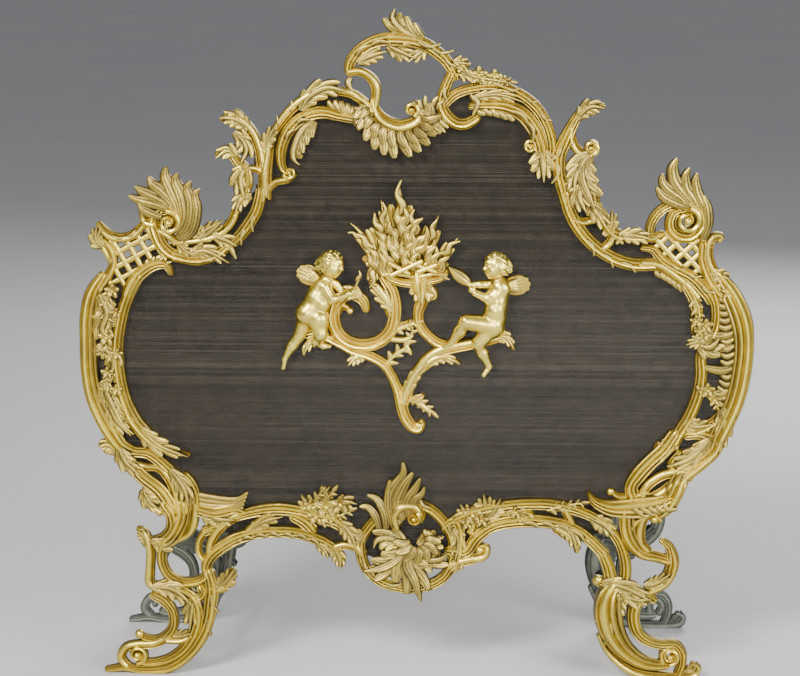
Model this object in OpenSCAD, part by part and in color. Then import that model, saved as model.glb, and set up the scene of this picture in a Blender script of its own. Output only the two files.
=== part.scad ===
// Rococo fire screen: a ring of pierced scroll castings round a panel of woven wire gauze, a
// flaming brazier between two winged putti on the gauze, and two pairs of scroll feet.
// X runs to the right, Y to the back and Z up. The origin is on the floor, at the middle of the
// whole object's outline. Every scroll is a stroke: a smooth curve through [x, z, width] points.

/* [Castings] */
// Thickness of the flat body of a casting
body_thick = 7; // [5:0.5:10]
// How far the raised moulding stands in front of that body
moulding_rise = 4; // [1:0.5:6]
// Width of the raised moulding as a share of its stroke
moulding_share = 0.45; // [0.3:0.05:0.6]
// How far the applied leaves and shells stand in front of the moulding
applied_rise = 8; // [4:0.5:10]

/* [Feet] */
// Distance from the back of the front feet to the front of the rear feet
foot_gap = 170; // [120:5:220]
// Radius of the bars between a front foot and its rear foot
bridge_r = 5; // [4:0.5:6]

/* [Gauze] */
// Thickness of the woven wire gauze
gauze_thick = 1; // [0.6:0.1:1.4]

/* [Fasteners] */
// Radius of a screw's shank
screw_r = 1.4; // [1.2:0.1:1.6]
// Radius of a screw's round head
screw_head_r = 2.8; // [2.4:0.1:3.2]
// Radial clearance of a screw in its hole
screw_clearance = 0.05; // [0.02:0.01:0.1]
// Thickness of a joint strap
strap_thick = 2; // [1.5:0.25:3]

/* [Hidden] */
$fn = 40;

gilt = "goldenrod";
dark = "darkslategray";
steel = "dimgray";

span_steps = 4;                 // straight pieces between two points of a stroke
far = 900;                      // larger than the whole screen
crack = 0.5;                    // the widest crack between strokes that is filled
everywhere = [[-far, -far], [far, -far], [far, far], [-far, far]];
body_front = -body_thick;
moulding_front = body_front - moulding_rise;
applied_front = moulding_front - applied_rise;
figure_front = moulding_front - 15;
screw_hole_r = screw_r + screw_clearance;
screw_depth = 4;
screw_head_h = 1.6;
slot_width = 0.8;
slot_depth = 0.5;
end_gap = 0.2;                  // room left at the bottom of a blind hole
strap_half = 12;
strap_width = 8;
strap_room = 0.5;               // how much larger the gauze's notch is, all round a strap
strap_pitch = 7.5;              // from the joint to each of its two screws
clip_half = [6, 4];
clip_thick = 1;
stud_r = 2;
stud_reach = 6;                 // how far a mount stud comes out behind the gauze
washer_r = 7;
washer_h = 1;
nut_h = 2.4;
bridge_pin_r = 2.5;
bridge_pin_in = 4;              // how far a bridge's pin goes into the front foot
rear_foot_top = 152;

// The castings' back plane lies in front of the origin, which is at the middle of the depth.
depth_back = foot_gap + body_thick + moulding_rise;
frame_y = -(figure_front + depth_back + nut_h) / 2;

// ---- Curves ------------------------------------------------------------------------------

function clamp_index(p, i) = p[max(0, min(len(p) - 1, i))];

function between(a, b, c, d, t) =
  0.5 * (2 * b + (c - a) * t + (2 * a - 5 * b + 4 * c - d) * t * t
         + (3 * b - a - 3 * c + d) * t * t * t);

// The stroke's points with more points between them, on one smooth curve.
function smooth(p) = [
  for (i = [0 : len(p) - 2], s = [0 : span_steps - 1])
    between(clamp_index(p, i - 1), p[i], p[i + 1], clamp_index(p, i + 2), s / span_steps),
  p[len(p) - 1]
];

function smooth_loop(p) = [
  for (i = [0 : len(p) - 1], s = [0 : span_steps - 1])
    between(p[(i + len(p) - 1) % len(p)], p[i], p[(i + 1) % len(p)], p[(i + 2) % len(p)],
            s / span_steps)
];

function heading(p, i) =
  let (d = clamp_index(p, i + 1) - clamp_index(p, i - 1), l = norm([d[0], d[1]]))
  [d[0] / l, d[1] / l];

// One edge of a stroke: side is 1 or -1, share scales the width.
function edge(p, side, share) = [
  for (i = [0 : len(p) - 1])
    let (h = heading(p, i), w = p[i][2] * share * side / 2)
    [p[i][0] - h[1] * w, p[i][1] + h[0] * w]
];

function reversed(p) = [for (i = [len(p) - 1 : -1 : 0]) p[i]];

function outline(stroke, share) =
  let (p = smooth(stroke))
  concat(edge(p, 1, share), reversed(edge(p, -1, share)));

// ---- Building blocks ---------------------------------------------------------------------

// A plate in the screen's plane, from y = front to y = back.
module slab(points, front, back) {
  translate([0, back, 0])
    rotate([90, 0, 0])
      linear_extrude(back - front)
        polygon(points);
}

module disc(at, r, front, back) {
  translate([at[0], back, at[1]])
    rotate([90, 0, 0])
      cylinder(r = r, h = back - front);
}

// A band of even width along a closed curve.
module loop_band(path, width) {
  difference() {
    offset(delta = width / 2)
      polygon(smooth_loop(path));
    offset(delta = -width / 2)
      polygon(smooth_loop(path));
  }
}

// The outline of several strokes, round eyes and closed loops as one shape, kept to its zone.
// Growing and shrinking it by a hair closes the cracks where strokes only just meet.
module stroke_sheet(strokes, eyes, loops, share, zone) {
  offset(delta = -crack)
    offset(delta = crack)
      intersection() {
        union() {
          for (s = strokes)
            polygon(outline(s, share));
          for (e = eyes)
            translate([e[0], e[1]])
              circle(r = e[2] * sqrt(share));
          for (l = loops)
            loop_band(l[0], l[1] * share);
        }
        polygon(zone);
      }
}

// A drawing in the screen's plane made solid, from y = front to y = back.
module cast_sheet(front, back) {
  translate([0, back, 0])
    rotate([90, 0, 0])
      linear_extrude(back - front)
        children();
}

// A pierced scroll casting: every stroke has a flat body and a narrower raised moulding.
module scrollwork(strokes, eyes = [], loops = [], zone = everywhere) {
  cast_sheet(body_front, 0)
    stroke_sheet(strokes, eyes, loops, 1, zone);
  cast_sheet(moulding_front, body_front + 1)
    stroke_sheet(strokes, eyes, loops, moulding_share, zone);
}

// An ornament applied on the front of the castings' mouldings.
module applied(strokes, eyes = []) {
  cast_sheet(applied_front, moulding_front)
    stroke_sheet(strokes, eyes, [], 1, everywhere);
}

module screw_holes(at) {
  for (p = at)
    disc(p, screw_hole_r, -screw_depth - end_gap, 1);
}

// A casting cut to its place in the ring, with the blind holes for its screws.
module casting(strokes, zone, eyes = [], loops = []) {
  difference() {
    scrollwork(strokes, eyes, loops, zone);
    screw_holes(all_screws);
  }
}

// ---- The ring of castings, from the crest down each side ------------------------------------

crest_loop_strokes = [
  // carrying loop
  [[-72, 690, 8], [-70, 703, 11], [-58, 717, 12], [-39, 726, 13], [-15, 727, 14], [6, 723, 13],
   [22, 714, 12], [35, 702, 11], [44, 686, 10]],
  // curl inside the left end of the loop
  [[-73, 691, 7], [-60, 692, 8], [-49, 686, 9], [-43, 676, 10], [-43, 664, 9], [-46, 650, 8]],
  [[-74, 692, 5], [-74, 682, 6], [-64, 680, 6], [-46, 678, 5]],
  // end that meets the left arch's outer rail
  [[-68, 667, 8], [-56, 659, 9], [-48, 648, 9]],
  // leaf on the top
  [[8, 727, 8], [-8, 734, 10], [-20, 742, 9], [-26, 751, 7], [-23, 759, 3]],
  // C-scroll that carries the shell
  [[-46, 662, 7], [-42, 648, 10], [-32, 638, 12], [-16, 633, 13], [0, 638, 12], [5, 648, 9],
   [0, 657, 7], [-6, 653, 5]],
  // fringe towards the right arch
  [[4, 646, 8], [14, 640, 18], [26, 644, 16]]
];

left_arch_strokes = [
  [[-163, 556, 9], [-164, 580, 12], [-161, 600, 10], [-158, 618, 9], [-148, 636, 9],
   [-132, 654, 10], [-112, 667, 10], [-90, 671, 10], [-72, 669, 9], [-58, 661, 8], [-50, 650, 6]],
  [[-136, 580, 7], [-146, 588, 8], [-146, 610, 11], [-137, 630, 12], [-121, 643, 12],
   [-102, 648, 13], [-84, 644, 10], [-66, 641, 10], [-50, 640, 10]],
  // leaf inside the inner rail
  [[-112, 640, 8], [-124, 628, 9], [-132, 612, 8], [-134, 598, 7], [-127, 591, 3]],
  // C-scroll under the volute
  [[-160, 552, 4], [-161, 562, 6], [-153, 571, 7], [-140, 574, 7], [-132, 580, 5]]
];

right_arch_strokes = [
  [[44, 700, 10], [34, 678, 10], [29, 661, 11], [33, 647, 12], [44, 637, 12], [56, 636, 11],
   [68, 643, 9]],
  [[32, 656, 8], [44, 668, 10], [62, 674, 10], [86, 676, 11], [108, 670, 11], [128, 657, 11],
   [142, 638, 11], [149, 615, 10], [149, 590, 8]],
  [[60, 655, 7], [78, 656, 11], [98, 655, 14], [116, 647, 15], [129, 632, 15], [137, 614, 13],
   [139, 596, 12], [141, 576, 4]],
  [[122, 612, 6], [128, 610, 6], [134, 603, 6]],
  [[40, 648, 5], [50, 660, 5], [60, 658, 5], [62, 648, 5]],
  [[148, 592, 8], [142, 586, 8], [134, 594, 4]]
];

left_ear_strokes = [
  [[-212, 640, 5], [-203, 643, 9], [-190, 638, 10], [-179, 626, 10], [-172, 610, 9],
   [-169, 592, 10], [-167, 577, 9], [-170, 550, 10]],
  [[-198, 626, 5], [-189, 617, 9], [-185, 606, 9], [-190, 594, 8]],
  [[-218, 600, 5], [-212, 605, 8], [-203, 603, 9], [-196, 594, 10], [-188, 584, 13],
   [-186, 570, 14], [-189, 560, 11], [-193, 548, 9]],
  [[-190, 584, 8], [-178, 586, 7], [-168, 582, 7]]
];

right_ear_strokes = [
  [[205, 655, 5], [193, 656, 8], [180, 648, 9], [171, 634, 11], [164, 618, 14], [158, 602, 13],
   [158, 582, 13], [163, 562, 13], [168, 544, 12]],
  [[171, 634, 6], [172, 618, 8], [178, 607, 9], [190, 602, 8], [197, 610, 7], [193, 614, 6]],
  [[190, 602, 10], [182, 592, 16], [182, 575, 18], [188, 560, 18], [196, 545, 12]],
  [[166, 572, 8], [176, 566, 10], [186, 562, 8]]
];

left_shoulder_strokes = [
  [[-192, 560, 9], [-197, 541, 8], [-205, 524, 9], [-218, 513, 9], [-238, 507, 9], [-268, 504, 8]],
  [[-170, 562, 10], [-173, 545, 12], [-180, 530, 12], [-193, 512, 12], [-206, 501, 10],
   [-222, 490, 12], [-243, 485, 13], [-268, 489, 12]],
  // leaf that crosses the two rails
  [[-222, 510, 7], [-208, 506, 9], [-198, 501, 6]],
  [[-246, 510, 6], [-230, 518, 7], [-216, 527, 4]],
  [[-262, 503, 7], [-254, 494, 6], [-244, 490, 5]]
];

right_shoulder_strokes = [
  [[165, 560, 13], [170, 540, 13], [182, 519, 13], [198, 502, 13], [218, 489, 13], [240, 482, 13],
   [264, 482, 13]],
  [[194, 560, 14], [198, 545, 12], [208, 528, 12], [222, 515, 11], [240, 512, 10], [264, 512, 9]],
  [[176, 532, 8], [186, 529, 8], [198, 532, 9]],
  [[218, 515, 9], [214, 506, 9], [206, 499, 8]],
  [[214, 522, 8], [216, 532, 6], [216, 541, 3]]
];

left_finial_strokes = [
  [[-256, 487, 12], [-270, 491, 12], [-280, 500, 12], [-286, 513, 12], [-289, 527, 11],
   [-282, 538, 10], [-270, 538, 9], [-262, 529, 8], [-268, 521, 6]],
  [[-256, 504, 8], [-268, 508, 8], [-276, 514, 9], [-285, 518, 8]],
  // plume of acanthus
  [[-258, 528, 14], [-262, 544, 20], [-278, 552, 22], [-295, 558, 18], [-311, 556, 6]],
  [[-262, 540, 22], [-268, 556, 20], [-275, 572, 14], [-278, 586, 4]],
  [[-256, 540, 18], [-255, 556, 14], [-250, 568, 5]],
  [[-262, 548, 14], [-264, 564, 10], [-264, 577, 4]],
  [[-290, 524, 12], [-300, 528, 8], [-299, 545, 8], [-285, 552, 8]]
];

right_finial_strokes = [
  // outer bow and the bowl of the volute
  [[258, 510, 8], [259, 525, 9], [266, 538, 10], [279, 547, 10], [296, 548, 12], [310, 540, 14],
   [314, 526, 12], [304, 514, 12], [290, 514, 12], [281, 524, 12], [284, 538, 10], [298, 542, 8],
   [304, 533, 8]],
  // plume of acanthus
  [[312, 528, 12], [314, 545, 14], [302, 558, 20], [286, 574, 20], [282, 597, 6]],
  [[296, 552, 14], [280, 556, 12], [265, 570, 5]],
  [[306, 548, 16], [300, 566, 14], [296, 586, 6]],
  [[314, 540, 12], [317, 550, 8], [314, 559, 4]],
  [[306, 552, 10], [304, 568, 8], [303, 580, 4]]
];

left_lattice_outline = [[-352, 500], [-343, 497], [-337, 487], [-338, 474], [-345, 462], [-345, 450],
  [-318, 450], [-314, 462], [-303, 474], [-288, 480], [-272, 484], [-284, 500], [-290, 518], [-302, 521],
  [-314, 513], [-328, 509], [-342, 514], [-351, 523]];
left_lattice_holes = [[-317, 494, 8], [-304, 501, 7], [-308, 482, 8], [-296, 490, 7], [-319, 473, 7],
  [-329, 463, 8]];
left_lattice_strokes = [
  [[-351, 524, 6], [-342, 513, 9], [-328, 508, 9], [-314, 511, 9], [-302, 522, 7]],
  [[-352, 498, 5], [-358, 500, 5], [-354, 507, 5], [-344, 503, 7], [-337, 492, 8], [-336, 478, 8],
   [-344, 462, 9], [-352, 450, 9]],
  [[-271, 468, 5], [-277, 478, 9], [-290, 478, 12], [-304, 469, 13], [-315, 456, 13],
   [-321, 444, 12]]
];

right_lattice_outline = [[250, 506], [276, 518], [290, 510], [314, 510], [330, 516], [326, 500],
  [327, 484], [334, 468], [338, 450], [322, 450], [306, 470], [288, 480], [272, 490], [262, 500]];
right_lattice_holes = [[277, 523, 5], [285, 512, 6], [296, 502, 6], [308, 501, 7], [274, 504, 5],
  [284, 495, 7], [298, 488, 7], [310, 484, 7]];
right_lattice_strokes = [
  [[250, 500, 6], [262, 498, 8], [272, 487, 10], [288, 477, 11], [306, 467, 12], [322, 450, 12],
   [328, 440, 10]],
  [[333, 508, 6], [336, 513, 7], [328, 512, 8], [323, 500, 9], [325, 485, 9], [333, 472, 8],
   [345, 468, 5]],
  [[318, 505, 10], [318, 486, 10], [326, 466, 12], [340, 448, 12]],
  [[250, 482, 13], [268, 480, 10], [286, 469, 9], [302, 456, 9], [312, 444, 9]],
  [[250, 512, 9], [262, 512, 8], [272, 516, 6]]
];

left_side_strokes = [
  [[-347, 466, 10], [-359, 446, 16], [-365, 420, 17], [-366, 392, 17], [-366, 360, 17],
   [-362, 330, 17], [-353, 305, 17], [-340, 282, 18], [-330, 268, 14]],
  [[-308, 466, 13], [-321, 440, 12], [-328, 418, 12], [-333, 390, 12], [-333, 364, 12],
   [-330, 340, 12], [-325, 320, 13], [-316, 300, 15], [-303, 284, 15], [-287, 271, 13],
   [-270, 263, 8], [-255, 261, 3]],
  // foliage between the rails
  [[-352, 444, 8], [-344, 424, 14], [-350, 405, 12], [-340, 396, 10]],
  [[-360, 378, 8], [-348, 382, 10], [-338, 370, 10], [-342, 352, 10], [-352, 345, 8]],
  [[-352, 345, 8], [-346, 330, 14], [-338, 312, 12], [-330, 296, 12], [-318, 286, 8]],
  [[-334, 332, 8], [-345, 335, 8], [-355, 336, 8]]
];

right_side_strokes = [
  [[334, 470, 12], [349, 448, 20], [361, 420, 22], [365, 392, 20], [363, 360, 20], [357, 330, 20],
   [347, 304, 20], [338, 284, 20]],
  [[322, 464, 9], [332, 440, 10], [333, 415, 10], [326, 396, 12], [318, 380, 11], [319, 358, 12],
   [316, 335, 12], [308, 312, 12], [299, 296, 12], [290, 280, 14]],
  [[296, 462, 9], [306, 446, 10], [312, 430, 12], [312, 412, 12], [318, 396, 12]],
  // ribs between the rails
  [[320, 392, 12], [334, 394, 14], [352, 394, 12]],
  [[326, 366, 9], [338, 366, 10], [352, 366, 9]],
  [[318, 340, 9], [332, 338, 12], [350, 340, 12]],
  [[330, 468, 10], [340, 448, 12], [343, 425, 14], [345, 400, 14], [347, 372, 12], [346, 345, 12],
   [338, 320, 12]],
  [[345, 316, 10], [334, 304, 10], [320, 296, 12], [306, 292, 10]]
];

left_haunch_strokes = [
  // left outer leaf and the two rails of the S
  [[-357, 271, 4], [-345, 272, 8], [-332, 266, 12], [-322, 250, 14], [-308, 234, 15],
   [-290, 219, 16], [-278, 200, 16], [-276, 190, 14]],
  [[-343, 290, 16], [-333, 273, 14], [-318, 264, 11], [-302, 262, 12], [-288, 252, 12], [-272, 236, 13],
   [-262, 218, 14], [-262, 194, 14]],
  [[-322, 250, 10], [-305, 246, 8], [-290, 244, 8], [-278, 230, 9], [-272, 212, 10],
   [-272, 194, 12]],
  [[-262, 236, 12], [-254, 226, 12], [-249, 212, 10], [-250, 194, 8]],
  [[-306, 222, 6], [-304, 208, 10], [-296, 200, 10], [-288, 194, 12]],
  // shell at the inner end
  [[-256, 206, 12], [-238, 212, 17], [-220, 213, 14], [-203, 219, 5]]
];

right_haunch_strokes = [
  [[340, 290, 18], [334, 272, 18], [318, 256, 18], [300, 240, 18], [292, 222, 20], [284, 206, 18],
   [276, 196, 12]],
  [[292, 290, 14], [280, 272, 16], [266, 258, 16], [252, 242, 16], [244, 226, 14], [252, 206, 16]],
  [[304, 288, 10], [318, 290, 12], [332, 286, 12]],
  [[300, 268, 10], [290, 254, 12], [302, 250, 14], [316, 252, 10]],
  [[312, 250, 8], [296, 246, 10], [276, 240, 10], [260, 226, 10], [262, 214, 10], [280, 224, 9],
   [296, 238, 9]],
  // shell at the inner end
  [[196, 221, 4], [206, 209, 10], [224, 204, 14], [246, 204, 18], [268, 205, 18], [284, 208, 14]],
  [[221, 223, 6], [230, 217, 6], [246, 218, 7], [262, 222, 8]],
  [[274, 278, 7], [270, 265, 8], [262, 255, 8]]
];

left_lower_rail_strokes = [
  [[-240, 170, 10], [-222, 178, 10], [-203, 188, 10], [-180, 195, 12], [-155, 198, 13],
   [-130, 195, 13], [-112, 190, 14], [-92, 185, 15], [-76, 172, 10], [-66, 158, 7]],
  [[-222, 152, 12], [-206, 161, 13], [-185, 168, 12], [-158, 171, 12], [-130, 169, 12],
   [-108, 161, 12], [-92, 151, 11], [-84, 138, 9], [-84, 130, 3]],
  [[-190, 172, 8], [-176, 184, 8], [-164, 192, 8]],
  [[-138, 190, 12], [-126, 184, 14], [-116, 174, 14]],
  [[-110, 158, 8], [-102, 150, 5], [-98, 142, 3]],
  [[-92, 152, 9], [-78, 156, 9], [-64, 152, 8]]
];

right_lower_rail_strokes = [
  [[38, 182, 10], [54, 190, 14], [74, 198, 14], [98, 203, 12], [124, 206, 12], [152, 206, 12],
   [176, 202, 12], [198, 194, 11], [216, 184, 10]],
  [[66, 142, 10], [78, 145, 11], [81, 155, 8], [73, 154, 6]],
  [[38, 150, 14], [58, 150, 13], [70, 166, 13], [88, 180, 13], [112, 186, 14], [140, 187, 14],
   [166, 183, 13], [190, 172, 12], [216, 148, 12]],
  [[100, 192, 10], [116, 196, 12], [132, 194, 10]],
  [[168, 202, 8], [174, 192, 8], [178, 184, 8]],
  [[64, 172, 10], [68, 184, 10], [76, 196, 8]],
  [[160, 178, 9], [176, 168, 10], [184, 158, 8], [184, 150, 4]],
  [[38, 128, 8], [50, 136, 10], [68, 141, 9]]
];

// The cartouche's ring is one closed stroke, and scrolls inside it hold the leaves.
cartouche_ring_path = [[-62, 158], [-58, 134], [-40, 114], [-14, 106], [14, 108], [36, 122],
  [44, 148], [40, 174], [20, 198], [-4, 206], [-28, 198], [-48, 182]];
cartouche_ring_width = 13;
cartouche_strokes = [
  [[-74, 170, 8], [-66, 156, 10], [-58, 146, 10]],
  [[-18, 204, 12], [-22, 190, 12], [-18, 180, 8]],
  [[-4, 204, 10], [8, 196, 9], [6, 186, 8], [-2, 186, 7]],
  [[34, 176, 12], [46, 184, 14], [50, 170, 14], [48, 146, 12], [44, 128, 10]]
];

cartouche_leaf_strokes = [
  [[-8, 160, 22], [-12, 140, 22], [-2, 120, 20], [4, 104, 16], [8, 92, 4]],
  [[-14, 162, 16], [-30, 172, 14], [-44, 168, 12], [-46, 158, 6]],
  [[-14, 156, 14], [-28, 146, 14], [-40, 134, 14], [-56, 128, 8]],
  [[-4, 164, 14], [10, 176, 12], [22, 172, 8]],
  [[-2, 154, 16], [14, 150, 14], [30, 152, 10], [40, 160, 6]],
  [[2, 138, 14], [14, 128, 12], [18, 114, 8]],
  // two upright leaves on the top
  [[-10, 196, 20], [-8, 214, 24], [-4, 232, 16], [-10, 252, 4]],
  [[-30, 184, 10], [-32, 200, 14], [-40, 214, 10], [-48, 218, 4]],
  [[-18, 206, 12], [-22, 220, 10], [-24, 233, 4]]
];

// ---- Applied ornament ------------------------------------------------------------------------

crest_shell_strokes = [
  [[-44, 640, 16], [-56, 640, 14], [-66, 644, 8]],
  [[-38, 636, 18], [-46, 624, 18], [-54, 630, 6]],
  [[-34, 634, 18], [-40, 620, 18], [-43, 612, 8]],
  [[-20, 630, 20], [-18, 618, 22], [-17, 605, 8]],
  [[-6, 630, 20], [0, 620, 18], [4, 615, 8]],
  [[4, 634, 14], [12, 626, 12], [16, 622, 6]]
];

crest_sprig_strokes = [
  [[42, 702, 8], [50, 702, 7], [59, 701, 3]],
  [[48, 696, 6], [62, 688, 6], [84, 684, 6], [103, 681, 4]]
];
crest_sprig_blooms = [[69, 688, 7], [86, 686, 6], [97, 683, 4]];

left_side_flower_strokes = [
  [[-340, 448, 10], [-346, 430, 14], [-342, 412, 12], [-346, 398, 10]],
  [[-336, 428, 8], [-333, 420, 6]]
];
left_side_blooms = [[-345, 396, 9], [-337, 449, 8], [-333, 377, 6], [-335, 336, 6]];

right_side_flower_strokes = [
  [[308, 446, 8], [312, 432, 10], [314, 418, 12], [322, 402, 14], [328, 390, 8]],
  [[318, 396, 10], [308, 396, 10], [302, 393, 4]]
];
right_side_blooms = [[322, 414, 7], [316, 407, 5], [311, 418, 6], [326, 341, 7], [345, 452, 7]];

left_spray_strokes = [
  [[-122, 196, 12], [-110, 206, 12], [-100, 216, 8], [-104, 223, 3]],
  [[-116, 200, 12], [-120, 210, 6], [-124, 215, 3]],
  [[-96, 190, 14], [-82, 192, 14], [-68, 198, 4]],
  [[-92, 184, 10], [-80, 180, 8], [-74, 176, 4]]
];
left_spray_blooms = [[-100, 200, 13], [-84, 205, 9], [-112, 188, 9]];

right_spray_strokes = [
  [[54, 188, 10], [56, 198, 8], [52, 206, 3]],
  [[74, 192, 10], [80, 204, 8], [79, 219, 3]],
  [[84, 194, 8], [91, 205, 6], [95, 215, 3]],
  [[160, 204, 10], [176, 206, 8], [190, 209, 3]]
];
right_spray_blooms = [[66, 194, 9], [74, 188, 7], [114, 198, 7]];

// ---- Feet ------------------------------------------------------------------------------------

left_foot_strokes = [
  [[-316, 173, 4], [-309, 170, 6], [-304, 160, 8], [-302, 144, 9], [-303, 125, 9], [-303, 108, 10],
   [-290, 104, 9], [-270, 106, 9]],
  // flutes that come down from the haunch into a C
  [[-284, 202, 14], [-276, 188, 14], [-276, 174, 14], [-286, 162, 12], [-302, 158, 8]],
  [[-264, 202, 16], [-266, 184, 16], [-274, 168, 15], [-287, 152, 11], [-289, 134, 10],
   [-282, 118, 10], [-268, 110, 10], [-252, 110, 10], [-240, 116, 8]],
  [[-250, 202, 8], [-252, 182, 10], [-258, 168, 8], [-270, 160, 6]],
  // lower S with its knob
  [[-300, 95, 11], [-288, 88, 12], [-279, 76, 10], [-277, 60, 10], [-284, 47, 10], [-298, 40, 8],
   [-313, 43, 7]],
  // two bands that sweep down to the toe
  [[-282, 99, 11], [-266, 98, 14], [-254, 88, 14], [-250, 70, 14], [-254, 50, 13], [-266, 30, 11],
   [-284, 17, 9], [-304, 12, 8], [-318, 14, 8]],
  [[-236, 122, 12], [-232, 104, 14], [-234, 84, 14], [-238, 62, 13], [-248, 40, 13],
   [-264, 20, 12], [-286, 6, 12], [-312, 3, 10], [-334, 6, 8], [-348, 4, 7], [-357, 3, 5]],
  [[-244, 104, 12], [-242, 98, 10], [-250, 88, 8]],
  // volute of the toe
  [[-282, 44, 8], [-300, 35, 9], [-318, 34, 9], [-333, 30, 9], [-339, 18, 9], [-332, 8, 9]],
  [[-256, 46, 6], [-270, 40, 8], [-286, 40, 8]],
  [[-318, 14, 7], [-312, 23, 7], [-320, 28, 6], [-327, 22, 6]],
  // bloom at the right and the ends of the lower rail's two bars
  [[-234, 106, 10], [-222, 104, 12], [-214, 112, 12], [-208, 124, 8]],
  [[-236, 116, 10], [-238, 130, 11], [-230, 144, 13], [-214, 156, 13], [-200, 164, 13]],
  [[-234, 140, 8], [-232, 158, 9], [-224, 172, 10], [-212, 183, 10], [-200, 190, 10]],
  [[-246, 196, 14], [-226, 192, 16], [-206, 196, 14], [-196, 194, 10]],
  [[-226, 178, 8], [-238, 170, 8], [-246, 158, 7], [-246, 144, 6], [-238, 134, 6]]
];
left_foot_knobs = [[-317, 47, 5.5]];

right_foot_strokes = [
  // flutes that come down from the haunch into a C
  [[240, 202, 16], [240, 182, 16], [246, 164, 15], [258, 150, 12], [274, 146, 11], [289, 141, 10]],
  [[278, 188, 6], [270, 195, 7], [260, 190, 8], [256, 176, 9], [258, 162, 8], [266, 153, 6]],
  [[268, 202, 12], [262, 194, 8], [252, 186, 8], [246, 176, 6]],
  // outer C
  [[280, 165, 6], [289, 157, 9], [293, 142, 13], [290, 126, 13], [281, 114, 13], [266, 106, 12]],
  // ends of the lower rail's two bars
  [[198, 194, 10], [216, 182, 10], [230, 166, 10], [238, 146, 11], [240, 126, 12], [236, 112, 12]],
  [[198, 166, 12], [212, 151, 12], [220, 134, 13], [224, 116, 14]],
  [[206, 118, 9], [220, 112, 12], [240, 108, 14], [258, 102, 14], [274, 94, 8]],
  // broad fluted S
  [[229, 112, 16], [222, 98, 26], [221, 78, 29], [227, 56, 26], [240, 36, 20], [258, 22, 15],
   [276, 17, 12], [290, 17, 9]],
  [[262, 100, 12], [252, 88, 13], [250, 72, 13], [255, 56, 12], [266, 46, 11], [282, 41, 10],
   [298, 41, 10], [306, 31, 10], [306, 17, 9], [302, 6, 8]],
  [[212, 52, 6], [224, 30, 8], [244, 12, 9], [266, 4, 10], [290, 2, 10], [310, 3, 8], [322, 6, 8],
   [325, 14, 6], [318, 18, 5]],
  // volute of the toe
  [[286, 18, 8], [285, 31, 7], [294, 35, 7], [299, 27, 7], [295, 18, 7]]
];
right_foot_knobs = [[209, 118, 5.5]];

// ---- The mount on the gauze ------------------------------------------------------------------

bracket_strokes = [
  // big C-scroll on the left, with its curl
  [[-54, 428, 7], [-58, 440, 11], [-72, 447, 12], [-86, 438, 13], [-91, 420, 14], [-86, 403, 13],
   [-73, 392, 13], [-56, 389, 13], [-38, 394, 13], [-26, 408, 13], [-22, 428, 13], [-24, 448, 12],
   [-32, 462, 11], [-40, 474, 8]],
  [[-86, 424, 6], [-80, 433, 6], [-72, 428, 6]],
  [[-28, 422, 5], [-33, 440, 9], [-42, 454, 8], [-50, 462, 4]],
  // left branch and stem
  [[-98, 397, 8], [-82, 389, 9], [-68, 382, 10], [-52, 377, 10], [-37, 369, 10], [-27, 356, 9],
   [-19, 338, 10], [-15, 322, 12], [-11, 308, 12], [-4, 297, 12], [4, 294, 11], [8, 301, 7]],
  [[-92, 396, 8], [-108, 400, 7], [-122, 403, 3]],
  [[-96, 395, 8], [-112, 396, 6], [-123, 387, 5], [-124, 377, 2]],
  [[-58, 376, 8], [-68, 373, 6], [-74, 366, 2]],
  // right branch
  [[-12, 322, 10], [-8, 338, 12], [0, 354, 11], [11, 370, 11], [25, 381, 12], [42, 387, 12],
   [62, 391, 12], [80, 394, 9], [96, 397, 7], [106, 393, 5], [110, 385, 3]],
  [[6, 360, 8], [22, 373, 9], [36, 375, 7], [50, 369, 3]],
  // console under the right of the brazier
  [[6, 474, 22], [8, 456, 24], [8, 440, 14], [4, 426, 11], [6, 412, 10], [14, 401, 10],
   [26, 392, 10], [40, 389, 9]],
  [[12, 456, 10], [20, 452, 8], [22, 444, 7], [16, 442, 5]],
  // twigs
  [[-24, 406, 7], [-10, 412, 8], [0, 418, 3]],
  [[-28, 396, 6], [-12, 395, 6], [-2, 400, 3]],
  [[-34, 366, 4], [-22, 378, 5], [-10, 386, 5], [-6, 396, 5]],
  [[-10, 388, 6], [-6, 382, 5], [-4, 378, 2]],
  [[-10, 328, 5], [2, 326, 8], [10, 332, 3]],
  [[-2, 326, 5], [8, 320, 6], [18, 311, 3]]
];

brazier_strokes = [
  // tray
  [[-38, 474, 7], [-24, 464, 10], [-6, 460, 11], [12, 462, 10], [28, 466, 9], [36, 474, 6]],
  // flames
  [[-8, 468, 44], [-12, 496, 42], [-16, 524, 24], [-16, 544, 14], [-18, 562, 3]],
  [[-24, 476, 26], [-32, 500, 22], [-41, 520, 12], [-45, 532, 3]],
  [[-28, 474, 22], [-44, 488, 18], [-54, 504, 13], [-62, 514, 8], [-70, 521, 3]],
  [[4, 472, 26], [12, 494, 22], [19, 514, 12], [26, 529, 3]],
  [[14, 474, 20], [28, 485, 15], [37, 496, 9], [47, 506, 3]],
  [[-24, 500, 14], [-33, 524, 9], [-37, 545, 3]],
  [[-8, 500, 16], [-4, 520, 10], [-2, 535, 3]],
  [[20, 476, 12], [29, 471, 9], [34, 463, 3]],
  [[-36, 482, 16], [-46, 472, 12], [-46, 457, 3]]
];

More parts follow.
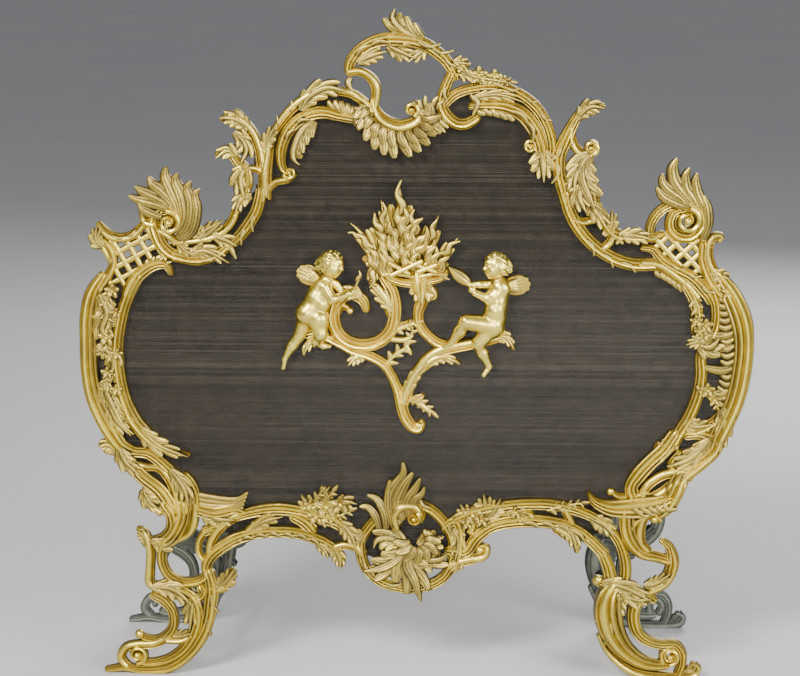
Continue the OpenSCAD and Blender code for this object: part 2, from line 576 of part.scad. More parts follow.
// A figure's limbs: each is [start, radius, end, radius], and a point is [x, height, z], with the
// height counted from the castings' back plane.
left_putto_limbs = [
  [[-92, 11, 482], 14, [-88, 12, 478], 11],        // head
  [[-98, 10, 462], 13, [-112, 10, 440], 16],       // chest
  [[-112, 10, 440], 16, [-113, 10, 426], 17],      // hips
  [[-92, 12, 458], 7, [-88, 16, 444], 5],          // right arm
  [[-88, 16, 444], 5, [-68, 14, 450], 4],
  [[-68, 13, 450], 4, [-62, 10, 462], 2.5],        // hand and torch
  [[-116, 10, 424], 11, [-126, 9, 402], 7],        // trailing leg
  [[-126, 9, 402], 7, [-142, 8, 380], 4],
  [[-104, 12, 426], 11, [-120, 12, 403], 6],       // near leg
  [[-105, 7, 462], 4, [-124, 6, 476], 6]           // wing
];

right_putto_limbs = [
  [[92, 11, 479], 14, [88, 12, 474], 11],          // head
  [[92, 10, 456], 13, [90, 10, 432], 14],          // chest
  [[90, 10, 432], 14, [88, 10, 412], 15],          // hips
  [[92, 14, 448], 7, [78, 17, 443], 5],            // near arm
  [[78, 17, 443], 5, [60, 14, 454], 4],
  [[84, 9, 458], 5, [58, 10, 462], 4],             // far arm
  [[56, 12, 460], 3, [46, 11, 470], 6],            // torch
  [[84, 12, 412], 11, [54, 14, 418], 9],           // raised thigh
  [[54, 14, 418], 8, [38, 10, 394], 4],            // shin
  [[80, 11, 404], 10, [70, 13, 390], 8],           // hanging leg
  [[70, 13, 390], 8, [82, 11, 360], 4],
  [[100, 7, 458], 4, [114, 6, 460], 7]             // wing
];

// ---- Joints between neighbouring castings ----------------------------------------------------
// Each zone is the part of the screen's plane that one casting fills, up to its joints.

crest_zone = [[-90, 676.5], [-56, 676.5], [-56, 600], [22, 600], [22, 692], [60, 692], [60, 800],
  [-90, 800]];
left_arch_zone = [[-56, 676.5], [-56, 600], [-100, 540], [-150, 545], [-163, 560], [-165, 585],
  [-168, 612], [-178, 645], [-178, 700], [-90, 700], [-90, 676.5]];
right_arch_zone = [[22, 600], [22, 692], [60, 692], [60, 700], [170, 700], [170, 670], [165, 640],
  [156, 622], [151, 600], [150, 553], [100, 553]];
left_ear_zone = [[-178, 700], [-178, 645], [-168, 612], [-165, 585], [-163, 560], [-158, 556],
  [-240, 556], [-240, 700]];
right_ear_zone = [[150, 553], [245, 553], [245, 670], [170, 670], [165, 640], [156, 622],
  [151, 600]];
left_shoulder_zone = [[-262, 470], [-262, 513], [-240, 513], [-240, 556], [-158, 556], [-150, 545],
  [-150, 470]];
right_shoulder_zone = [[256, 458], [256, 512], [245, 520], [245, 553], [150, 553], [150, 458]];
left_finial_zone = [[-262, 478], [-262, 513], [-240, 513], [-240, 600], [-320, 600], [-320, 550],
  [-305, 545], [-297, 520], [-288, 497], [-272, 484]];
right_finial_zone = [[345, 530], [330, 518], [312, 509], [288, 509], [275, 514], [256, 512],
  [245, 520], [245, 610], [345, 610]];
left_lattice_zone = [[-375, 458], [-375, 560], [-320, 550], [-305, 545], [-297, 520], [-288, 497],
  [-272, 484], [-262, 478], [-262, 458]];
right_lattice_zone = [[400, 458], [400, 530], [345, 530], [330, 518], [312, 509], [288, 509],
  [275, 514], [256, 512], [256, 458]];
left_side_zone = [[-240, 458], [-400, 458], [-400, 283], [-318, 283], [-305, 268], [-290, 258],
  [-240, 250]];
right_side_zone = [[400, 286], [400, 458], [240, 458], [240, 286]];
left_haunch_zone = [[-400, 283], [-318, 283], [-305, 268], [-290, 258], [-240, 250], [-200, 250],
  [-200, 200], [-400, 200]];
right_haunch_zone = [[190, 200], [400, 200], [400, 286], [190, 286]];
left_rail_zone = [[-205, 100], [-205, 200], [-200, 200], [-200, 235], [-66, 235], [-66, 185],
  [-70, 165], [-72, 140], [-72, 100]];
right_rail_zone = [[47, 100], [47, 130], [50, 160], [47, 190], [47, 235], [190, 235], [190, 200],
  [205, 200], [205, 100]];
cartouche_zone = [[-66, 260], [-66, 185], [-70, 165], [-72, 140], [-72, 80], [47, 80], [47, 130],
  [50, 160], [47, 190], [47, 260]];
left_foot_zone = [[-400, 200], [-205, 200], [-205, 0], [-400, 0]];
right_foot_zone = [[205, 0], [400, 0], [400, 200], [205, 200]];
left_rear_zone = [[-400, rear_foot_top], [-205, rear_foot_top], [-205, 0], [-400, 0]];
right_rear_zone = [[205, 0], [400, 0], [400, rear_foot_top], [205, rear_foot_top]];

// A strap laps each joint at the back: [x, z, direction, distance from the joint to a screw].
straps = [
  [-56, 659, 142, 6], [41, 692, 75, strap_pitch],
  [-165.5, 592, 0, 5], [151, 603, 0, 5.5],
  [-171, 556, 95, strap_pitch], [166, 553, 107, strap_pitch], [195, 553, 100, strap_pitch],
  [-262, 487.5, 180, strap_pitch], [256, 482, 0, strap_pitch],
  [-292, 508, 165, strap_pitch], [261, 512.4, 90, 6], [318, 512, 90, strap_pitch],
  [-313, 458, 62, strap_pitch], [333, 458, 102, strap_pitch],
  [-340, 283, 112, strap_pitch], [341, 286, 75, strap_pitch], [292, 286, 55, strap_pitch],
  [-263, 200, 90, strap_pitch], [243, 200, 90, strap_pitch],
  [-205, 162, 22, strap_pitch], [-205, 187, 30, strap_pitch],
  [205, 190.5, -27, strap_pitch], [205, 159, -42, strap_pitch],
  [-70, 162, -50, strap_pitch], [49.5, 150, 0, 6]
];
function strap_screws_of(s) = [
  for (side = [-1, 1])
    [s[0] + side * s[3] * cos(s[2]), s[1] + side * s[3] * sin(s[2])]
];
strap_screw_places = [for (s = straps, p = strap_screws_of(s)) p];

// A clip holds the gauze against a casting, with one screw through both.
clips = [[-101, 648], [98, 655], [-146, 609], [137, 614], [-205, 524], [182, 519], [-243, 485],
  [-333, 380], [312, 430], [319, 358], [-325, 320], [252, 242], [-272, 236], [-158, 171],
  [140, 187]];
all_screws = concat(strap_screw_places, clips);

// Places of the studs that hold the mount, and of the bars between the feet.
studs = [[-56, 389], [-91, 420], [62, 391], [-15, 322], [8, 446], [-30, 459]];
left_bridge_places = [[-238, 62], [-288, 138]];
right_bridge_places = [[222, 70], [240, 126]];

gauze_loop = [[-16, 640], [12, 645], [30, 662], [52, 671], [86, 674], [118, 662], [139, 640],
  [148, 612], [153, 588], [164, 566], [186, 556], [200, 540], [211, 524], [228, 513], [254, 509],
  [278, 502], [302, 492], [324, 474], [342, 450], [356, 420], [361, 385], [358, 345], [349, 312],
  [334, 282], [314, 258], [294, 236], [280, 214], [252, 203], [222, 192], [206, 172], [186, 174],
  [152, 186], [118, 186], [90, 178], [72, 158], [46, 142], [6, 140], [-38, 138], [-66, 148],
  [-88, 154], [-118, 166], [-158, 171], [-194, 166], [-214, 168], [-232, 186], [-254, 206],
  [-280, 222], [-306, 238], [-330, 264], [-348, 298], [-360, 336], [-364, 380], [-361, 416],
  [-350, 446], [-332, 472], [-310, 490], [-284, 498], [-262, 503], [-236, 506], [-215, 514],
  [-202, 528], [-192, 548], [-172, 566], [-161, 592], [-155, 622], [-140, 646], [-118, 663],
  [-92, 671], [-68, 667], [-46, 648]];

// ---- Castings ----------------------------------------------------------------------------------

module crest_loop() {
  color(gilt) casting(crest_loop_strokes, crest_zone, [[-6, 653, 5]]);
}

module left_arch() {
  color(gilt) casting(left_arch_strokes, left_arch_zone, [[-135, 581, 4.5]]);
}

module right_arch() {
  color(gilt) casting(right_arch_strokes, right_arch_zone, [[124, 612, 5]]);
}

module left_ear() {
  color(gilt) casting(left_ear_strokes, left_ear_zone);
}

module right_ear() {
  color(gilt) casting(right_ear_strokes, right_ear_zone, [[192, 613, 5]]);
}

module left_shoulder() {
  color(gilt) casting(left_shoulder_strokes, left_shoulder_zone);
}

module right_shoulder() {
  color(gilt) casting(right_shoulder_strokes, right_shoulder_zone);
}

module left_finial() {
  color(gilt) casting(left_finial_strokes, left_finial_zone, [[-272, 527, 6]]);
}

module right_finial() {
  color(gilt) casting(right_finial_strokes, right_finial_zone, [[299, 533, 8]]);
}

// A corner panel: a plate pierced with square holes set on their points, inside its scrolls.
module lattice(plate, holes, strokes, zone) {
  difference() {
    union() {
      intersection() {
        slab(plate, body_front + 1, 0);
        slab(zone, body_front, 1);
      }
      scrollwork(strokes, zone = zone);
    }
    for (h = holes)
      translate([h[0], 0, h[1]])
        rotate([0, 45, 0])
          cube([h[2], far, h[2]], center = true);
    screw_holes(all_screws);
  }
}

module left_lattice() {
  color(gilt) lattice(left_lattice_outline, left_lattice_holes, left_lattice_strokes, left_lattice_zone);
}

module right_lattice() {
  color(gilt)
    lattice(right_lattice_outline, right_lattice_holes, right_lattice_strokes, right_lattice_zone);
}

module left_side() {
  color(gilt) casting(left_side_strokes, left_side_zone);
}

module right_side() {
  color(gilt) casting(right_side_strokes, right_side_zone);
}

module left_haunch() {
  color(gilt) casting(left_haunch_strokes, left_haunch_zone);
}

module right_haunch() {
  color(gilt) casting(right_haunch_strokes, right_haunch_zone, [[221, 223, 5]]);
}

module left_lower_rail() {
  color(gilt) casting(left_lower_rail_strokes, left_rail_zone);
}

module right_lower_rail() {
  color(gilt) casting(right_lower_rail_strokes, right_rail_zone);
}

module cartouche_ring() {
  color(gilt)
    casting(cartouche_strokes, cartouche_zone, loops = [[cartouche_ring_path, cartouche_ring_width]]);
}

// ---- Applied ornament ------------------------------------------------------------------------

module crest_shell() {
  color(gilt) applied(crest_shell_strokes);
}

module crest_sprig() {
  color(gilt) applied(crest_sprig_strokes, crest_sprig_blooms);
}

module left_side_flowers() {
  color(gilt) applied(left_side_flower_strokes, left_side_blooms);
}

module right_side_flowers() {
  color(gilt) applied(right_side_flower_strokes, right_side_blooms);
}

module left_spray() {
  color(gilt) applied(left_spray_strokes, left_spray_blooms);
}

module right_spray() {
  color(gilt) applied(right_spray_strokes, right_spray_blooms);
}

module cartouche_leaves() {
  color(gilt) applied(cartouche_leaf_strokes, [[0, 190, 7]]);
}

// ---- Feet ------------------------------------------------------------------------------------

// A foot cut flat on the floor, with holes for the bars between the feet.
module foot(strokes, knobs, zone, bars, hole_depth) {
  difference() {
    scrollwork(strokes, knobs, [], zone);
    for (b = bars)
      disc(b, bridge_pin_r + screw_clearance, -hole_depth, 1);
    screw_holes(all_screws);
  }
}

module left_front_foot() {
  color(gilt)
    foot(left_foot_strokes, left_foot_knobs, left_foot_zone, left_bridge_places,
         bridge_pin_in + end_gap);
}

module right_front_foot() {
  color(gilt)
    foot(right_foot_strokes, right_foot_knobs, right_foot_zone, right_bridge_places,
         bridge_pin_in + end_gap);
}

// The rear feet are cast from the same patterns and face the wall.
module to_the_back() {
  translate([0, foot_gap, 0])
    mirror([0, 1, 0])
      children();
}

module left_rear_foot() {
  color(dark)
    to_the_back()
      foot(left_foot_strokes, left_foot_knobs, left_rear_zone, left_bridge_places, far);
}

module right_rear_foot() {
  color(dark)
    to_the_back()
      foot(right_foot_strokes, right_foot_knobs, right_rear_zone, right_bridge_places, far);
}

// A bar between the feet: its front pin enters the front foot, its rear pin passes the rear foot.
module bridge(at) {
  disc(at, bridge_r, 0, foot_gap);
  disc(at, bridge_pin_r, -bridge_pin_in, 1);
  disc(at, bridge_pin_r, foot_gap - 1, depth_back + nut_h);
}

module left_bridges() {
  color(dark) for (p = left_bridge_places) bridge(p);
}

module right_bridges() {
  color(dark) for (p = right_bridge_places) bridge(p);
}

module hex_nut(at, hole_r, front) {
  difference() {
    translate([at[0], front + nut_h, at[1]])
      rotate([90, 0, 0])
        cylinder(r = hole_r * 2, h = nut_h, $fn = 6);
    disc(at, hole_r, front - 1, front + nut_h + 1);
  }
}

module bridge_nuts() {
  color(steel)
    for (p = concat(left_bridge_places, right_bridge_places))
      hex_nut(p, bridge_pin_r + screw_clearance, depth_back);
}

// ---- Gauze, clips and straps -----------------------------------------------------------------

module strap_plate(s, room, front, back) {
  translate([s[0], (front + back) / 2, s[1]])
    rotate([0, -s[2], 0])
      cube([2 * strap_half + 2 * room, back - front, strap_width + 2 * room], center = true);
}

module gauze_panel() {
  color(dark)
    difference() {
      slab(smooth_loop(gauze_loop), 0, gauze_thick);
      for (s = straps)
        strap_plate(s, strap_room, -1, gauze_thick + 1);
      for (c = clips)
        disc(c, screw_hole_r, -1, gauze_thick + 1);
      for (m = studs)
        disc(m, stud_r + screw_clearance, -1, gauze_thick + 1);
    }
}

// A cheese-headed screw whose head rests on y = seat.
module screw(at, seat) {
  disc(at, screw_r, -screw_depth, seat + slot_depth);
  difference() {
    disc(at, screw_head_r, seat, seat + screw_head_h);
    translate([at[0], seat + screw_head_h, at[1]])
      cube([2 * screw_head_r + 1, 2 * slot_depth, slot_width], center = true);
  }
}

module gauze_clips() {
  color(steel)
    for (c = clips)
      difference() {
        translate([c[0], gauze_thick + clip_thick / 2, c[1]])
          cube([2 * clip_half[0], clip_thick, 2 * clip_half[1]], center = true);
        disc(c, screw_hole_r, 0, gauze_thick + clip_thick + 1);
      }
}

module clip_screws() {
  color(steel) for (c = clips) screw(c, gauze_thick + clip_thick);
}

module joint_straps() {
  color(steel)
    for (s = straps)
      difference() {
        strap_plate(s, 0, 0, strap_thick);
        for (p = strap_screws_of(s))
          disc(p, screw_hole_r, -1, strap_thick + 1);
      }
}

module strap_screws() {
  color(steel) for (p = strap_screw_places) screw(p, strap_thick);
}

// ---- The mount -------------------------------------------------------------------------------

module mount_bracket() {
  color(gilt)
    difference() {
      scrollwork(bracket_strokes);
      for (m = studs)
        disc(m, stud_r + screw_clearance, -screw_depth - end_gap, 1);
    }
}

module brazier() {
  color(gilt) applied(brazier_strokes);
}

module limb(l) {
  hull()
    for (k = [0, 2])
      translate([l[k][0], -l[k][1], l[k][2]])
        sphere(r = l[k + 1], $fn = 16);
}

module figure(limbs) {
  intersection() {
    union() for (l = limbs) limb(l);
    translate([-far / 2, figure_front, 0])
      cube([far, moulding_front - figure_front, far]);
  }
}

module left_putto() {
  color(gilt) figure(left_putto_limbs);
}

module right_putto() {
  color(gilt) figure(right_putto_limbs);
}

module mount_studs() {
  color(steel) for (m = studs) disc(m, stud_r, -screw_depth, stud_reach);
}

module mount_washers() {
  color(steel)
    for (m = studs)
      difference() {
        disc(m, washer_r, gauze_thick, gauze_thick + washer_h);
        disc(m, stud_r + screw_clearance, 0, gauze_thick + washer_h + 1);
      }
}

module mount_nuts() {
  color(steel)
    for (m = studs)
      hex_nut(m, stud_r + screw_clearance, gauze_thick + washer_h);
}

// ---- The screen ------------------------------------------------------------------------------

module place() {
  translate([0, frame_y, 0]) children();
}

place() crest_loop();
place() crest_shell();
place() crest_sprig();
place() left_arch();
place() right_arch();
place() left_ear();
place() right_ear();
place() left_shoulder();
place() right_shoulder();
place() left_finial();
place() right_finial();
place() left_lattice();
place() right_lattice();
place() left_side();
place() right_side();
place() left_side_flowers();
place() right_side_flowers();
place() left_haunch();
place() right_haunch();
place() left_lower_rail();
place() right_lower_rail();
place() left_spray();
place() right_spray();
place() cartouche_ring();
place() cartouche_leaves();
place() left_front_foot();
place() right_front_foot();
place() left_rear_foot();
place() right_rear_foot();
place() left_bridges();
place() right_bridges();
place() bridge_nuts();
place() gauze_panel();
place() gauze_clips();
place() clip_screws();
place() joint_straps();
place() strap_screws();
place() mount_bracket();
place() brazier();
place() left_putto();
place() right_putto();
place() mount_studs();
place() mount_washers();
place() mount_nuts();
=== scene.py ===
"""The looks of a rococo fire screen: cast and chased scrollwork, acanthus, two putti and real wire gauze.

Lengths are millimetres until a mesh is made. A stroke is a list of points (x, z, width), seen from the front,
and depth is counted from the castings' back plane towards the viewer.
"""

import math
import random

import bmesh
import bpy
import numpy as np
import openvdb
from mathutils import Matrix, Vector


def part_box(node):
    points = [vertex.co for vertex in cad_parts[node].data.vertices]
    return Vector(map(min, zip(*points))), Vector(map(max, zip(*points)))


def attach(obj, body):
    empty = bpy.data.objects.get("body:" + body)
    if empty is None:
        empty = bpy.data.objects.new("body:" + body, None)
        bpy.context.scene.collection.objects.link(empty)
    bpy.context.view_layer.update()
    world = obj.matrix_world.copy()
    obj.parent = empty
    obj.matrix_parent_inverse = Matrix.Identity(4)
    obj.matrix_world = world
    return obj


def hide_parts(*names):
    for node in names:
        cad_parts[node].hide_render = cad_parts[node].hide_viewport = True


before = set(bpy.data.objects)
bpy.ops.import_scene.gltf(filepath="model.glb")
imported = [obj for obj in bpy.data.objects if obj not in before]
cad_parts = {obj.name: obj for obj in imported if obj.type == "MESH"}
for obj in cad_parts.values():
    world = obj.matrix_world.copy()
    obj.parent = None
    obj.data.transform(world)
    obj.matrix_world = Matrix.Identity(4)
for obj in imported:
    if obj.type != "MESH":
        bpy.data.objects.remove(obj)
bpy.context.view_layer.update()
MM = 0.001
FRONT_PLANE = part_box("crest_loop")[1][1] / MM       # the back plane of the gilt castings
REAR_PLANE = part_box("left_rear_foot")[0][1] / MM    # the back plane of the rear feet
REAR_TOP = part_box("left_rear_foot")[1][2] / MM
random.seed(1755)

NOTHING = 1e-4              # keeps a division from a straight line's bend or a flat slope
STAGGER = 0.07              # how far one patch's back lies from the next, so that no two share a plane
STAGGERS = 11
CREASE = math.radians(38)   # edges sharper than this stay sharp


# ---- Curves --------------------------------------------------------------------------------------

def smooth(points, steps=6):
    """More points on one smooth curve through a stroke's points."""
    path = np.array(points, float)
    before = np.vstack([path[:1], path[:-2]])
    start = path[:-1]
    end = path[1:]
    after = np.vstack([path[2:], path[-1:]])
    rows = []
    for a, b, c, d in zip(before, start, end, after):
        for step in range(steps):
            t = step / steps
            rows.append(0.5 * (2 * b + (c - a) * t + (2 * a - 5 * b + 4 * c - d) * t ** 2
                               + (3 * b - a - 3 * c + d) * t ** 3))
    rows.append(path[-1])
    return np.array(rows)


def closed(points):
    """A closed curve's points, run on a little past the start so that its ends overlap."""
    return list(points) + list(points[:2])


def headings(path):
    """Unit tangent and left normal at each point of a curve, and how sharply it bends to the left."""
    step = np.gradient(path[:, :2], axis=0)
    length = np.maximum(np.linalg.norm(step, axis=1), NOTHING)
    tangent = step / length[:, None]
    normal = np.stack([-tangent[:, 1], tangent[:, 0]], axis=1)
    turn = np.unwrap(np.arctan2(tangent[:, 1], tangent[:, 0]))
    return tangent, normal, np.gradient(turn) / length


def distances(path):
    """How far along a curve each of its points lies."""
    return np.concatenate([[0], np.cumsum(np.linalg.norm(np.diff(path[:, :2], axis=0), axis=1))])


def along(path, share):
    """The point (x, z, width) at a share of a curve's length, with its direction in radians."""
    run = distances(path)
    at = share * run[-1]
    x, z, width = (np.interp(at, run, path[:, k]) for k in range(3))
    i = int(np.clip(np.searchsorted(run, at), 1, len(path) - 1))
    step = path[i, :2] - path[i - 1, :2]
    return x, z, width, math.atan2(step[1], step[0])


# ---- Sections of the cast bands: across the width, and share of the height -----------------------

ROUND = np.array([
    (-1, 0), (-1, 0.35), (-0.82, 0.7), (-0.48, 0.93), (0, 1), (0.48, 0.93), (0.82, 0.7), (1, 0.35), (1, 0)])
RAIL = np.array([
    (-1, 0), (-1, 0.42), (-0.92, 0.66), (-0.78, 0.74), (-0.64, 0.68), (-0.54, 0.56), (-0.42, 0.7),
    (-0.18, 0.88), (0.1, 0.99), (0.4, 0.98), (0.68, 0.84), (0.88, 0.64), (1, 0.38), (1, 0)])
REEDS = np.array([
    (-1, 0), (-1, 0.4), (-0.93, 0.62), (-0.8, 0.7), (-0.68, 0.66), (-0.6, 0.54), (-0.5, 0.68), (-0.34, 0.82),
    (-0.18, 0.8), (-0.06, 0.68), (0.04, 0.82), (0.22, 0.98), (0.42, 1), (0.58, 0.9), (0.66, 0.7),
    (0.76, 0.76), (0.88, 0.7), (1, 0.4), (1, 0)])
PLAIN_FOLD = np.array([
    (-1, 0), (-0.88, 0.44), (-0.58, 0.76), (-0.1, 0.94), (0.3, 1), (0.66, 0.8), (0.9, 0.42), (1, 0)])
CREASED_FOLD = np.array([
    (-1, 0), (-0.9, 0.46), (-0.72, 0.76), (-0.5, 0.86), (-0.36, 0.7), (-0.2, 0.88), (0.04, 0.98),
    (0.2, 0.8), (0.38, 1), (0.7, 0.82), (0.9, 0.44), (1, 0)])


def section_for(width):
    """Narrow bands are round, rails have a ridge, a cove and a fillet, and broad bands are reeded."""
    if width < 7.5:
        return ROUND
    return RAIL if width < 12 else REEDS


def held_in(reach, bend, share):
    """Offsets from a path, kept within a share of its radius on the inside of a bend."""
    room = share / np.maximum(np.abs(bend), NOTHING)[:, None]
    inner = np.sign(reach) == np.sign(bend)[:, None]
    return np.where(inner, np.clip(reach, -room, room), reach)


def hand_of(points):
    """Which way to turn a band's section, so that its ridge lies on its convex side."""
    bend = headings(smooth(points))[2]
    return -1 if bend.sum() > 0 else 1


# ---- Building a casting --------------------------------------------------------------------------

class Casting:
    """The patches of one casting. Each is a closed shell, and every point carries a value from recess (0) to
    ridge (1) that paints shade into the recesses and a highlight onto the ridges, over the patina of the
    hollows.
    """

    def __init__(self, drawn=(), top=None):
        """Starts with the drawn strokes. Bands, leaves and leaflets are cast only as far up as top."""
        self.points = []
        self.faces = []
        self.painted_light_and_tone = []
        self.patches = 0
        self.top = top
        self.strokes(drawn)

    def shell(self, x, depth, z, painted_light_and_tone):
        """A closed shell from rings of points: a row of the arrays is one ring."""
        rows, columns = x.shape
        first = len(self.points)
        self.patches += 1
        depth = depth + STAGGER * (self.patches % STAGGERS)
        self.points.extend(np.stack([x, depth, z], axis=-1).reshape(-1, 3).tolist())
        self.painted_light_and_tone.extend(np.clip(painted_light_and_tone, 0, 1).reshape(-1).tolist())
        for i in range(rows - 1):
            for j in range(columns):
                k = (j + 1) % columns
                a = first + i * columns
                b = a + columns
                self.faces.append((a + j, a + k, b + k, b + j))
        self.faces.append(tuple(range(first, first + columns)))
        last = first + (rows - 1) * columns
        self.faces.append(tuple(range(last, last + columns)))

    def too_high(self, z):
        """Whether a height lies above the casting's top."""
        return self.top is not None and z > self.top

    def band(self, points, base=0.0, height=None, hand=1, section=None):
        """A moulded band along a stroke, with rounded ends."""
        path = smooth(points)
        if self.top is not None:
            path = path[path[:, 1] <= self.top]
            if len(path) < 3:
                return
        tangent, normal, bend = headings(path)
        width = path[:, 2]
        section = section_for(width.mean()) if section is None else section
        rise = 4 + 0.5 * width if height is None else np.full(len(path), float(height))
        past, narrow, low = 0.25, 0.55, 0.7         # a rounded end, in shares of the width and the height
        centre = np.vstack([path[:1, :2] - tangent[:1] * width[0] * past, path[:, :2],
                            path[-1:, :2] + tangent[-1:] * width[-1] * past])
        normal = np.vstack([normal[:1], normal, normal[-1:]])
        bend = np.concatenate([bend[:1], bend, bend[-1:]])
        width = np.concatenate([width[:1] * narrow, width, width[-1:] * narrow])
        rise = np.concatenate([rise[:1] * low, rise, rise[-1:] * low])
        across = section[:, 0] * hand
        up = section[:, 1]
        reach = held_in(across[None, :] * width[:, None] / 2, bend, 0.92)
        x = centre[:, :1] + normal[:, :1] * reach
        z = np.maximum(centre[:, 1:] + normal[:, 1:] * reach, 0)
        depth = base + up[None, :] * rise[:, None]
        # painted highlight on the crowns and painted shade in the grooves and on the flanks, over the patina
        # of the hollows; the back is a flat middle tone
        painted_light_and_tone = np.where(up > 0, 0.95 * (up - 0.36) / 0.64, 0.3)
        self.shell(x, depth, z, painted_light_and_tone[None, :] + 0 * x)

    def fold(self, path, thick=4.0, hand=1):
        """One fold of a leaf: a creased and tapered reed along rows of (x, z, crown depth, width)."""
        ahead = path[-1, :2] - path[-2, :2]
        ahead = ahead / max(np.linalg.norm(ahead), NOTHING)
        tip = path[-1].copy()
        tip[:2] = tip[:2] + ahead * 0.4 * tip[3]
        tip[3] = tip[3] * 0.5
        path = np.vstack([path, tip])
        normal, bend = headings(path)[1:]
        half = np.maximum(path[:, 3:] / 2, 0.35)
        section = CREASED_FOLD if path[:, 3].max() > 10 else PLAIN_FOLD
        across = section[:, 0] * hand
        up = section[:, 1]
        reach = held_in(across[None, :] * half, bend, 0.9)
        x = path[:, :1] + normal[:, :1] * reach
        z = np.maximum(path[:, 1:2] + normal[:, 1:2] * reach, 0)
        drop = np.minimum(0.75 * half, 0.8 * thick)
        depth = path[:, 2:3] - (1 - up)[None, :] * drop
        under = np.maximum(path[:, 2:3] - thick, 0)
        x = np.hstack([x, x[:, -1:], x[:, :1]])
        z = np.hstack([z, z[:, -1:], z[:, :1]])
        depth = np.hstack([depth, under, under])
        painted_root_shade = np.linspace(0.55, 1, len(path))[:, None]         # painted shade: the root is darker than the tip
        # painted highlight on the crown of the fold, painted shade in its valleys and on its back
        painted_light_and_tone = np.concatenate([0.76 * (up - 0.64) / 0.36, [0, 0]])
        self.shell(x, depth, z, painted_light_and_tone[None, :] * painted_root_shade)

    def tongue(self, points, base=6.0, lift=4.0, curl=2.0, thick=4.0):
        """A single fold along a stroke, low at its root and curled forward at its tip."""
        path = smooth(points, steps=4)
        share = np.linspace(0, 1, len(path))
        crown = base + lift * np.sin(np.pi * (0.15 + 0.7 * share)) + curl * share ** 3
        self.fold(np.column_stack([path[:, 0], path[:, 1], crown, path[:, 2]]), thick=thick)

    def volute(self, x, z, r, start, turns=1.5, hand=1, width=6.0, height=9.0):
        """A band that winds into an eye, from a start angle in degrees."""
        count = int(8 * turns)
        points = []
        for k in range(count + 1):
            share = k / count
            angle = math.radians(start) + hand * share * turns * 2 * math.pi
            reach = r * (1 - 0.75 * share)
            wide = width * (1 - 0.5 * share)
            points.append((x + reach * math.cos(angle), z + reach * math.sin(angle), wide))
        self.band(points, height=height, hand=-hand, section=ROUND)
        self.ball(x, z, 0.34 * r, height - 0.5)

    def leaf(self, points, lobes=3, base=6.0, lift=4.0, curl=3.0, side=0, thick=4.0):
        """An acanthus leaf along a stroke: long folds that leave the rib one after another and splay out.
        side 1 or -1 keeps only the folds on that side of the rib."""
        path = smooth(points, steps=5)
        if self.too_high(path[:, 1].max()):
            return
        run = distances(path)
        run = run / run[-1]
        normal = headings(path)[1]
        half = np.maximum(path[:, 2] / 2, 0.8)

        def rows(share, offset, crown, width):
            """Rows of a fold at shares of the rib's length, offset to its left."""
            spot = [np.interp(share, run, path[:, k]) for k in (0, 1)]
            left = [np.interp(share, run, normal[:, k]) for k in (0, 1)]
            return np.column_stack([spot[0] + left[0] * offset, spot[1] + left[1] * offset, crown, width])

        far = np.linspace(0, 1, 8)
        if side == 0:
            blade = 1.75 * np.interp(far, run, half) * (1 - 0.55 * far ** 3)
            self.fold(rows(far, 0 * far, base + 0.35 * lift + 0.6 * curl * far ** 3, blade), thick=thick)
        taper = 0.6 + 0.4 * np.sin(np.pi * (0.1 + 0.8 * far))
        for k in range(lobes):
            end = (k + 1) / (lobes + 0.75)
            start = max(0.0, end - 0.25 - 0.5 / lobes)
            share = start + (end - start) * far
            reach = np.interp(share, run, half)
            broad = np.interp(end, run, half)
            for hand in ((-1, 1) if side == 0 else (side,)):
                offset = hand * reach * (0.18 + 0.5 * far + 0.5 * far ** 3)
                crown = base + lift * (0.8 - 0.3 * far) + curl * (0.3 + 0.7 * end) * far ** 3
                self.fold(rows(share, offset, crown, (1.6 if side else 1.5) * broad * taper + 1.2),
                          thick=thick, hand=hand)
        far = np.linspace(0, 1, 12)
        reach = np.interp(far, run, half)
        crown = base + lift * np.sin(np.pi * (0.25 + 0.5 * far)) + curl * far ** 3
        width = reach * np.minimum(1, 0.5 + 2.5 * (1 - far)) * np.minimum(1, 0.6 + 2 * far)
        self.fold(rows(far, 0 * far, crown, width), thick=thick)

    def ball(self, x, z, r, depth):
        """A bead, berry or knob."""
        pole = 0.12
        up = np.linspace(pole, math.pi - pole, 7)[:, None]
        turn = np.linspace(0, 2 * math.pi, 12, endpoint=False)[None, :]
        out = r * np.sin(up)
        # painted highlight: the front of a bead is lighter than its back
        self.shell(x + out * np.cos(turn), depth + r * np.cos(up) + 0 * turn,
                   np.maximum(z + out * np.sin(turn), 0), 0.35 + 0.6 * np.cos(up / 2) ** 2 + 0 * turn)

    def petal(self, x, z, angle, length, width, bow=0.0, base=4.0, lift=3.0, curl=2.0, tip=0.5):
        """A small leaf from a point, in a direction in radians; bow bends it to the left."""
        dx = math.cos(angle)
        dz = math.sin(angle)
        middle = (x + dx * length * 0.5 - dz * bow * length, z + dz * length * 0.5 + dx * bow * length)
        end = (x + dx * length, z + dz * length)
        self.tongue([(x, z, width * 0.6), (*middle, width), (*end, width * tip)],
                    base=base, lift=lift, curl=curl)

    def fringe(self, points, side, count, lean=0.5, width=None, base=2.0, lift=5.0, curl=2.0, tip=0.6):
        """Overlapping petals along a guide stroke, whose width is their length; lean tips them forward."""
        path = smooth(points)
        for k in range(count):
            x, z, length, angle = along(path, (k + 0.5) / count)
            out = angle + side * (math.pi / 2 - lean)
            self.petal(x, z, out, length, width or length * 0.75, bow=0.12 * side, base=base, lift=lift,
                       curl=curl, tip=tip)

